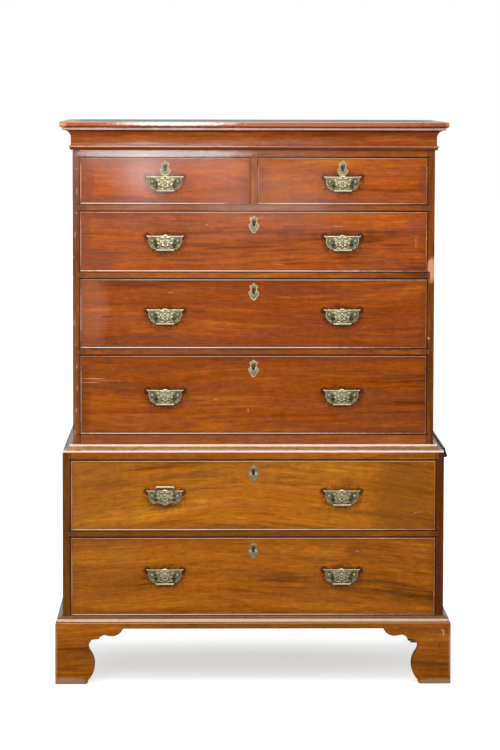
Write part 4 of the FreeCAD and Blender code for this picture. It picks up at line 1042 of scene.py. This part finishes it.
def brass(name, face, dark=0.9 * mm, bright=2.0 * mm, light=plate_brass, pivot=None, lit_crest=None):
    """Old brass. Its tone goes from the dark hollows near the drawer's face, at y = face, to the rubbed
    high parts, between two heights over the face; on a bail the height is the distance from its pivot.
    At z = lit_crest a band along an edge is paler: wear and a painted highlight."""
    material, tree = blank(name)
    where = put(tree, "ShaderNodeTexCoord").outputs["Object"]
    cloud = put(tree, "ShaderNodeTexNoise", {
        "Vector": where, "Scale": 160, "Detail": 4.0, "Roughness": 0.65,
    }).outputs["Fac"]
    drawn = put(tree, "ShaderNodeMapping", {"Vector": where, "Scale": (300, 900, 1500)}).outputs[0]
    scratch = put(tree, "ShaderNodeTexNoise", {"Vector": drawn, "Scale": 1.0, "Detail": 2.0}).outputs["Fac"]
    apart = put(tree, "ShaderNodeSeparateXYZ", {0: where}).outputs
    depth = sums(tree, "SUBTRACT", face, apart[1])
    if pivot:
        back = sums(tree, "SUBTRACT", apart[1], pivot.y)
        rise = sums(tree, "SUBTRACT", apart[2], pivot.z)
        squares = sums(tree, "MULTIPLY_ADD", back, back, sums(tree, "MULTIPLY", rise, rise))
        depth = sums(tree, "SQRT", squares)
    high = fade(tree, depth, dark, bright, 0.12, 0.85)
    # A pale band along the plate's top edge: wear and a painted highlight.
    if lit_crest:
        off = sums(tree, "ABSOLUTE", sums(tree, "SUBTRACT", apart[2], lit_crest))
        edge = fade(tree, off, 1.2 * mm, 2.2 * mm, 0.75, 0.0)
        high = sums(tree, "ADD", high, edge)
    high = sums(tree, "ADD", high, sums(tree, "MULTIPLY_ADD", cloud, 0.9, -0.45), clamp=True)
    colour = ramp(tree, high, [(0.05, hollow_brass), (0.45, middle_brass), (0.95, light)])
    dull = sums(tree, "ADD", sums(tree, "MULTIPLY_ADD", high, -0.16, 0.46),
                sums(tree, "MULTIPLY_ADD", scratch, 0.16, -0.08))
    height = sums(tree, "ADD", cloud, scratch)
    bump = put(tree, "ShaderNodeBump", {"Height": height, "Strength": 0.4, "Distance": 0.0003}).outputs[0]
    metal = put(tree, "ShaderNodeBsdfPrincipled", {
        "Base Color": colour, "Roughness": dull, "Metallic": 0.75, "Normal": bump,
    })
    put(tree, "ShaderNodeOutputMaterial", {"Surface": metal.outputs[0]})
    return material


def mirrored(right):
    """The whole outline from its right half, which starts and ends on the middle line."""
    return list(right) + [Vector((-p.x, p.y)) for p in reversed(right[1:-1])]


def ring(x, z, radius, count=14, stretch=1.0):
    """A round or oval opening's outline."""
    angles = [k * math.tau / count for k in range(count)]
    return [Vector((x + radius * stretch * math.cos(a), z + radius * math.sin(a))) for a in angles]


def cast(outlines, thickness, rim):
    """Points and faces of a flat casting with a rounded rim: the first outline is its edge and the others
    pierce it. Outlines are in millimetres, and the casting lies in the plane y = 0 and stands forward of
    it."""
    curve = bpy.data.curves.new("casting", "CURVE")
    curve.dimensions = "2D"
    curve.fill_mode = "BOTH"
    curve.extrude = thickness / 2 - rim
    curve.bevel_depth = rim
    curve.bevel_resolution = 1
    curve.offset = -rim
    for outline in outlines:
        spline = curve.splines.new("POLY")
        spline.points.add(len(outline) - 1)
        for point, p in zip(spline.points, outline):
            point.co = (p.x * mm, p.y * mm, 0, 1)
        spline.use_cyclic_u = True
    holder = bpy.data.objects.new("casting", curve)
    scene.collection.objects.link(holder)
    mesh = bpy.data.meshes.new_from_object(holder.evaluated_get(bpy.context.evaluated_depsgraph_get()))
    bpy.data.objects.remove(holder)
    stood = [Vector((v.co.x, -thickness / 2 - v.co.z, v.co.y)) for v in mesh.vertices]
    return stood, [tuple(face.vertices) for face in mesh.polygons]


def rope(path, radii, sides=8, closed=False):
    """Points and faces of a rounded bar along a path of points, with a (across, deep) radius at each."""
    points, faces = [], []
    count = len(path)
    for k, p in enumerate(path):
        before = path[(k - 1) % count] if closed or k else p
        after = path[(k + 1) % count] if closed or k < count - 1 else p
        run = (after - before).normalized()
        deep = Vector((0, 1, 0))
        wide = run.cross(deep).normalized()
        for s in range(sides):
            angle = math.tau * s / sides
            points.append(p + wide * math.cos(angle) * radii[k][0] + deep * math.sin(angle) * radii[k][1])
    for k in range(count if closed else count - 1):
        n = (k + 1) % count
        for s in range(sides):
            t = (s + 1) % sides
            faces.append((k * sides + s, k * sides + t, n * sides + t, n * sides + s))
    if not closed:
        faces.append(tuple(range(sides)))
        faces.append(tuple((count - 1) * sides + s for s in reversed(range(sides))))
    return points, faces


def turned(profile, sides=20):
    """Points and faces of a turned piece about the line through x = z = 0. Each step is (radius, y)."""
    points, faces = [], []
    for radius, y in profile:
        for s in range(sides):
            angle = math.tau * s / sides
            points.append(Vector((radius * math.cos(angle), y, radius * math.sin(angle))))
    for k in range(len(profile) - 1):
        for s in range(sides):
            t = (s + 1) % sides
            faces.append((k * sides + s, k * sides + t, (k + 1) * sides + t, (k + 1) * sides + s))
    faces.append(tuple(range(sides)))
    faces.append(tuple((len(profile) - 1) * sides + s for s in reversed(range(sides))))
    return points, faces


def gather(made, *shapes, at=Vector((0, 0, 0))):
    """Adds shapes, each points and faces, to the lists in made, moved by at."""
    for points, faces in shapes:
        start = len(made[0])
        made[0].extend(p + at for p in points)
        made[1].extend(tuple(start + k for k in face) for face in faces)


plate_outline = mirrored(rounded(
    (0, 17),
    [(3.2, 16.7, 5.4, 15.0), (8.5, 13.7, 12, 13.6), (45, 13.7), (50.9, 14.9), (51.3, 13.2),
     (47.4, 10.4, 45.6, 5.5), (46.4, 1.5, 45.4, -2.5), (45.6, -7.6, 42.0, -12.2),
     (40.6, -17.8, 35.5, -19.6), (33.5, -23.2, 29, -22.6), (22, -20.8, 15, -22.8), (9.5, -22.6, 7.6, -25.0),
     (4.5, -27.8, 0, -28)],
    parts=4,
))
lobe = (
    (19, -10.5), (24, -8.8), (29, -8.6), (32.2, -10.8),
    (30.2, -14.2), (27, -16.6), (22.5, -16.2), (19.6, -13.6),
)
plate_holes = [[Vector((hand * x, z)) for x, z in lobe][::hand] for hand in (1, -1)]
plate_holes += [ring(0, 12.0, 1.3, 10, 1.6)] + [ring(hand * 9.5, -15.5, 1.6, 10, 1.5) for hand in (1, -1)]
volute_steps = 14
volutes = (
    (10.0, -0.5, 5.4, 1.3, 2.6), (20.0, 3.5, 4.2, 1.1, 0.4),
    (17.5, -5.6, 3.2, 1.0, 3.6), (7.0, -11.5, 3.4, 1.1, 1.2),
)
leaf_bar = ((2.0, 9.0, 1.2, 0.9), (6, 9.6, 1.5, 1.0), (11, 8.6, 1.2, 0.9), (15, 9.4, 0.4, 0.4))
frond_bar = ((1.2, -24, 0.8, 0.8), (5, -20.5, 1.2, 0.9), (10, -19.4, 1.1, 0.9), (15, -20.6, 0.4, 0.4))
domes = ((1.5, 2.9), (-6.4, 2.0), (-15.5, 2.4), (-26.2, 1.8))
dome_profile = ((1.0, 0.1), (0.92, -0.5), (0.6, -1.0))


def scroll(x, z, size, turns, hand, start=0.0):
    """The path of a small volute in millimetres."""
    path = []
    for k in range(volute_steps + 1):
        t = k / volute_steps
        angle = start + hand * turns * math.tau * t
        radius = size * (1 - 0.82 * t)
        path.append(Vector((x + radius * math.cos(angle), 0, z + radius * math.sin(angle))))
    return path


def raised(path, height):
    """A path in millimetres brought to metres, at a height in front of a drawer's face."""
    return [p * mm + Vector((0, -height, 0)) for p in path]


def relief():
    """The raised work on a handle's plate: a rim, volutes, leaves and fronds, and domes down the middle."""
    made = ([], [])
    inset = [Vector((p.x * 0.965, 0, (p.y + 1) * 0.93 - 1)) for p in plate_outline]
    gather(made, rope(raised(inset, plate_thick), [(0.75 * mm, 0.55 * mm)] * len(inset), 6, closed=True))
    for hand in (1, -1):
        for x, z, size, turns, start in volutes:
            path = scroll(hand * x, z, size, turns, hand, start if hand > 0 else math.pi - start)
            radii = [(1.15 * mm * (1 - 0.5 * k / volute_steps), 0.95 * mm) for k in range(volute_steps + 1)]
            gather(made, rope(raised(path, plate_thick), radii, 6))
        for bar in (leaf_bar, frond_bar):
            path = [Vector((hand * x, 0, z)) for x, z, wide, deep in bar]
            radii = [(wide * mm, deep * mm) for x, z, wide, deep in bar]
            gather(made, rope(raised(path, plate_thick), radii, 6))
    for z, size in domes:
        profile = [(size * share * mm, -plate_thick + y * mm) for share, y in dome_profile]
        dome = turned(profile + [(0.1 * mm, -plate_thick - 1.25 * mm)], 10)
        gather(made, dome, at=Vector((0, 0, z * mm)))
    return made


plate_casting = cast([plate_outline] + plate_holes, plate_thick, 0.35 * mm)
plate_relief = relief()
post_profile = (
    (6.0, 0.0), (6.0, -1.2), (5.2, -2.2), (4.4, -3.4), (4.3, -4.4), (5.0, -5.6),
    (5.8, -7.4), (6.0, -9.4), (5.6, -11.2), (4.4, -12.4), (2.4, -12.95), (0.2, -13.0),
)
post_shape = turned([(radius * mm, y * mm) for radius, y in post_profile])
post_spread = 35.5 * mm


def bail_shape():
    """A swan-neck bail hanging from the origin: pins, curled necks, straight legs and a stouter bar."""
    pin = [(32.0, 0.0, 1.3), (29.6, 0.0, 1.4), (29.0, 0.0, 1.9)]
    neck = [(27.4, 0.15, 2.0), (26.0, -0.3, 2.0), (25.2, -1.8, 1.9)]
    leg = [(25.0, -4.5, 1.85), (25.0, -10, 1.8), (25.0, -17, 1.95), (24.9, -21.4, 2.2)]
    bar = [(24.3, -23.6, 2.5), (22.6, -25.1, 2.65), (19.5, -25.2, 2.65), (10, -25.2, 2.6), (0, -25.2, 2.7)]
    half = pin + neck + leg + bar
    whole = half + [(-x, z, r) for x, z, r in reversed(half[:-1])]
    path = [Vector((x * mm, 0, z * mm)) for x, z, r in whole]
    return rope(path, [(r * mm, min(r, 2.0) * mm) for x, z, r in whole], 10)


bail_hanging = bail_shape()
escutcheon_outline = rounded(
    (0, 0),
    [(4.2, -5.4, 9.4, -7.6), (11.8, -9.4, 11.0, -12.6), (9.4, -15.2, 8.8, -19.0), (9.0, -23.4, 11.6, -24.6),
     (14.6, -26.8, 14.4, -31.0), (13.2, -35.6, 10.4, -37.2), (9.8, -41.6, 5.8, -44.2),
     (3.8, -49.6, 0, -50.8)],
    parts=4,
)
keyhole_drop = 19.4
key_round = 5.8
key_slot = 3.5
key_slot_drop = 12
key_plate_thick = 1.0 * mm


def escutcheon_shape(tail):
    """A keyhole's plate hanging from its tip at the origin, cut off at tail if a handle is close below."""
    edge = mirrored([Vector((p.x, max(p.y, tail))) for p in escutcheon_outline if p.y > tail or p.x < 10.0])
    round_part = [math.radians(298 + 296 * k / 12) for k in range(13)]
    hole = [Vector((key_round * math.cos(a), -keyhole_drop + key_round * math.sin(a))) for a in round_part]
    hole += [Vector((hand * key_slot, -keyhole_drop - key_slot_drop)) for hand in (-1, 1)]
    pins = [ring(0, -7.0, 1.0, 8)] + ([ring(0, -43.0, 1.3, 8)] if tail < -45 else [])
    made = ([], [])
    gather(made, cast([edge, hole] + pins, key_plate_thick, 0.3 * mm))
    lip = [Vector((p.x * 0.91, 0, (p.y + 25) * 0.94 - 25)) for p in edge]
    gather(made, rope(raised(lip, key_plate_thick), [(0.9 * mm, 0.75 * mm)] * len(lip), 6, closed=True))
    return made


def nut_tree():
    """Geometry nodes: a square nut on the end of each shank, with its arrises eased."""
    tree = mesh_tree("nuts", (("Side", "Float"), ("Thickness", "Float"), ("Metal", "Material")))
    given = put(tree, "NodeGroupInput").outputs
    both_ways = {"Width": given["Side"], "Height": given["Side"]}
    square = put(tree, "GeometryNodeCurvePrimitiveQuadrilateral", both_ways, mode="RECTANGLE").outputs[0]
    radius = sums(tree, "MULTIPLY", given["Side"], 0.1)
    eased = put(tree, "GeometryNodeFilletCurve", {0: square, "Radius": radius, "Count": 2}, mode="POLY")
    through = put(tree, "ShaderNodeCombineXYZ", {2: given["Thickness"]}).outputs[0]
    line = put(tree, "GeometryNodeCurvePrimitiveLine", {"Start": (0, 0, 0), "End": through}).outputs[0]
    nut = put(tree, "GeometryNodeCurveToMesh", {0: line, 1: eased.outputs[0], "Fill Caps": True}).outputs[0]
    shown = put(tree, "GeometryNodeInstanceOnPoints", {
        "Points": given["Geometry"], "Instance": nut, "Rotation": (-math.pi / 2, 0, 0),
    }).outputs[0]
    real = put(tree, "GeometryNodeRealizeInstances", {0: shown}).outputs[0]
    finished = put(tree, "GeometryNodeSetMaterial", {0: real, "Material": given["Metal"]}).outputs[0]
    put(tree, "NodeGroupOutput", {0: finished})
    return tree


nut_maker = nut_tree()
shank_half = 2.2 * mm
for drawer in drawers:
    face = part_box(drawer + "_front")[0].y + bead_proud
    hangs = next(iter(bails[drawer].values()))
    metal = brass(drawer + "_brass", face, lit_crest=hangs.z + 14.0 * mm)
    made, posts, keyed = ([], []), ([], []), ([], [])
    nut_places = []
    for bail, pivot in bails[drawer].items():
        seat = Vector((pivot.x, face, pivot.z))
        gather(made, plate_casting, plate_relief, at=seat)
        for sign in (-1, 1):
            gather(posts, post_shape, at=seat + Vector((sign * post_spread, -plate_thick, 0)))
        turned_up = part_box(bail)[1].z > pivot.z + 10 * mm
        lies = Matrix.Rotation(math.radians(-196 if turned_up else 0), 4, "X")
        points = [pivot + lies @ p for p in bail_hanging[0]]
        bail_metal = brass(bail + "_brass", face, 19.0 * mm, 24.5 * mm, bail_brass, pivot)
        piece(bail + "_bar", points, bail_hanging[1], bail_metal, bail, replaced=(bail,), slot="brass",
              clean=True)
    for points, faces in loose_parts(drawer + "_fittings"):
        low, high = span(points)
        if high.y - low.y > 30 * mm:
            middle = Vector(((low.x + high.x) / 2, 0, (low.z + high.z) / 2))
            corners = [
                middle + Vector((a * shank_half, y, b * shank_half))
                for y in (face - 0.5 * mm, high.y) for a, b in ((-1, -1), (1, -1), (1, 1), (-1, 1))
            ]
            sides = [(0, 1, 2, 3), (7, 6, 5, 4), (0, 4, 5, 1), (1, 5, 6, 2), (2, 6, 7, 3), (3, 7, 4, 0)]
            gather(made, (corners, sides))
            nut_places.append(middle + Vector((0, high.y - 4.0 * mm, 0)))
        elif low.y > face:
            gather(made, (points, faces))
        elif high.z - low.z > 30 * mm and high.x - low.x < 40 * mm:
            tip = Vector(((low.x + high.x) / 2, face, high.z))
            gather(keyed, escutcheon_shape((low.z - high.z) / mm), at=tip)
    piece(drawer + "_brasses", *made, metal, drawer, replaced=(drawer + "_fittings",), slot="brass",
          clean=True)
    post_metal = brass(drawer + "_post_brass", face, 5 * mm, 17 * mm, post_brass)
    piece(drawer + "_posts", *posts, post_metal, drawer, slot="brass", clean=True)
    on_lower_chest = drawer in ("drawer_5", "drawer_6")
    key_metal = brass(drawer + "_key_brass", face, 0.5 * mm, 1.7 * mm,
                      dull_rim_brass if on_lower_chest else rim_brass)
    piece(drawer + "_escutcheon", *keyed, key_metal, drawer, slot="brass", clean=True)
    nuts = grown(drawer + "_nuts", nut_maker, {"Side": 10.5 * mm, "Thickness": 2.6 * mm, "Metal": metal},
                 drawer, points=nut_places)
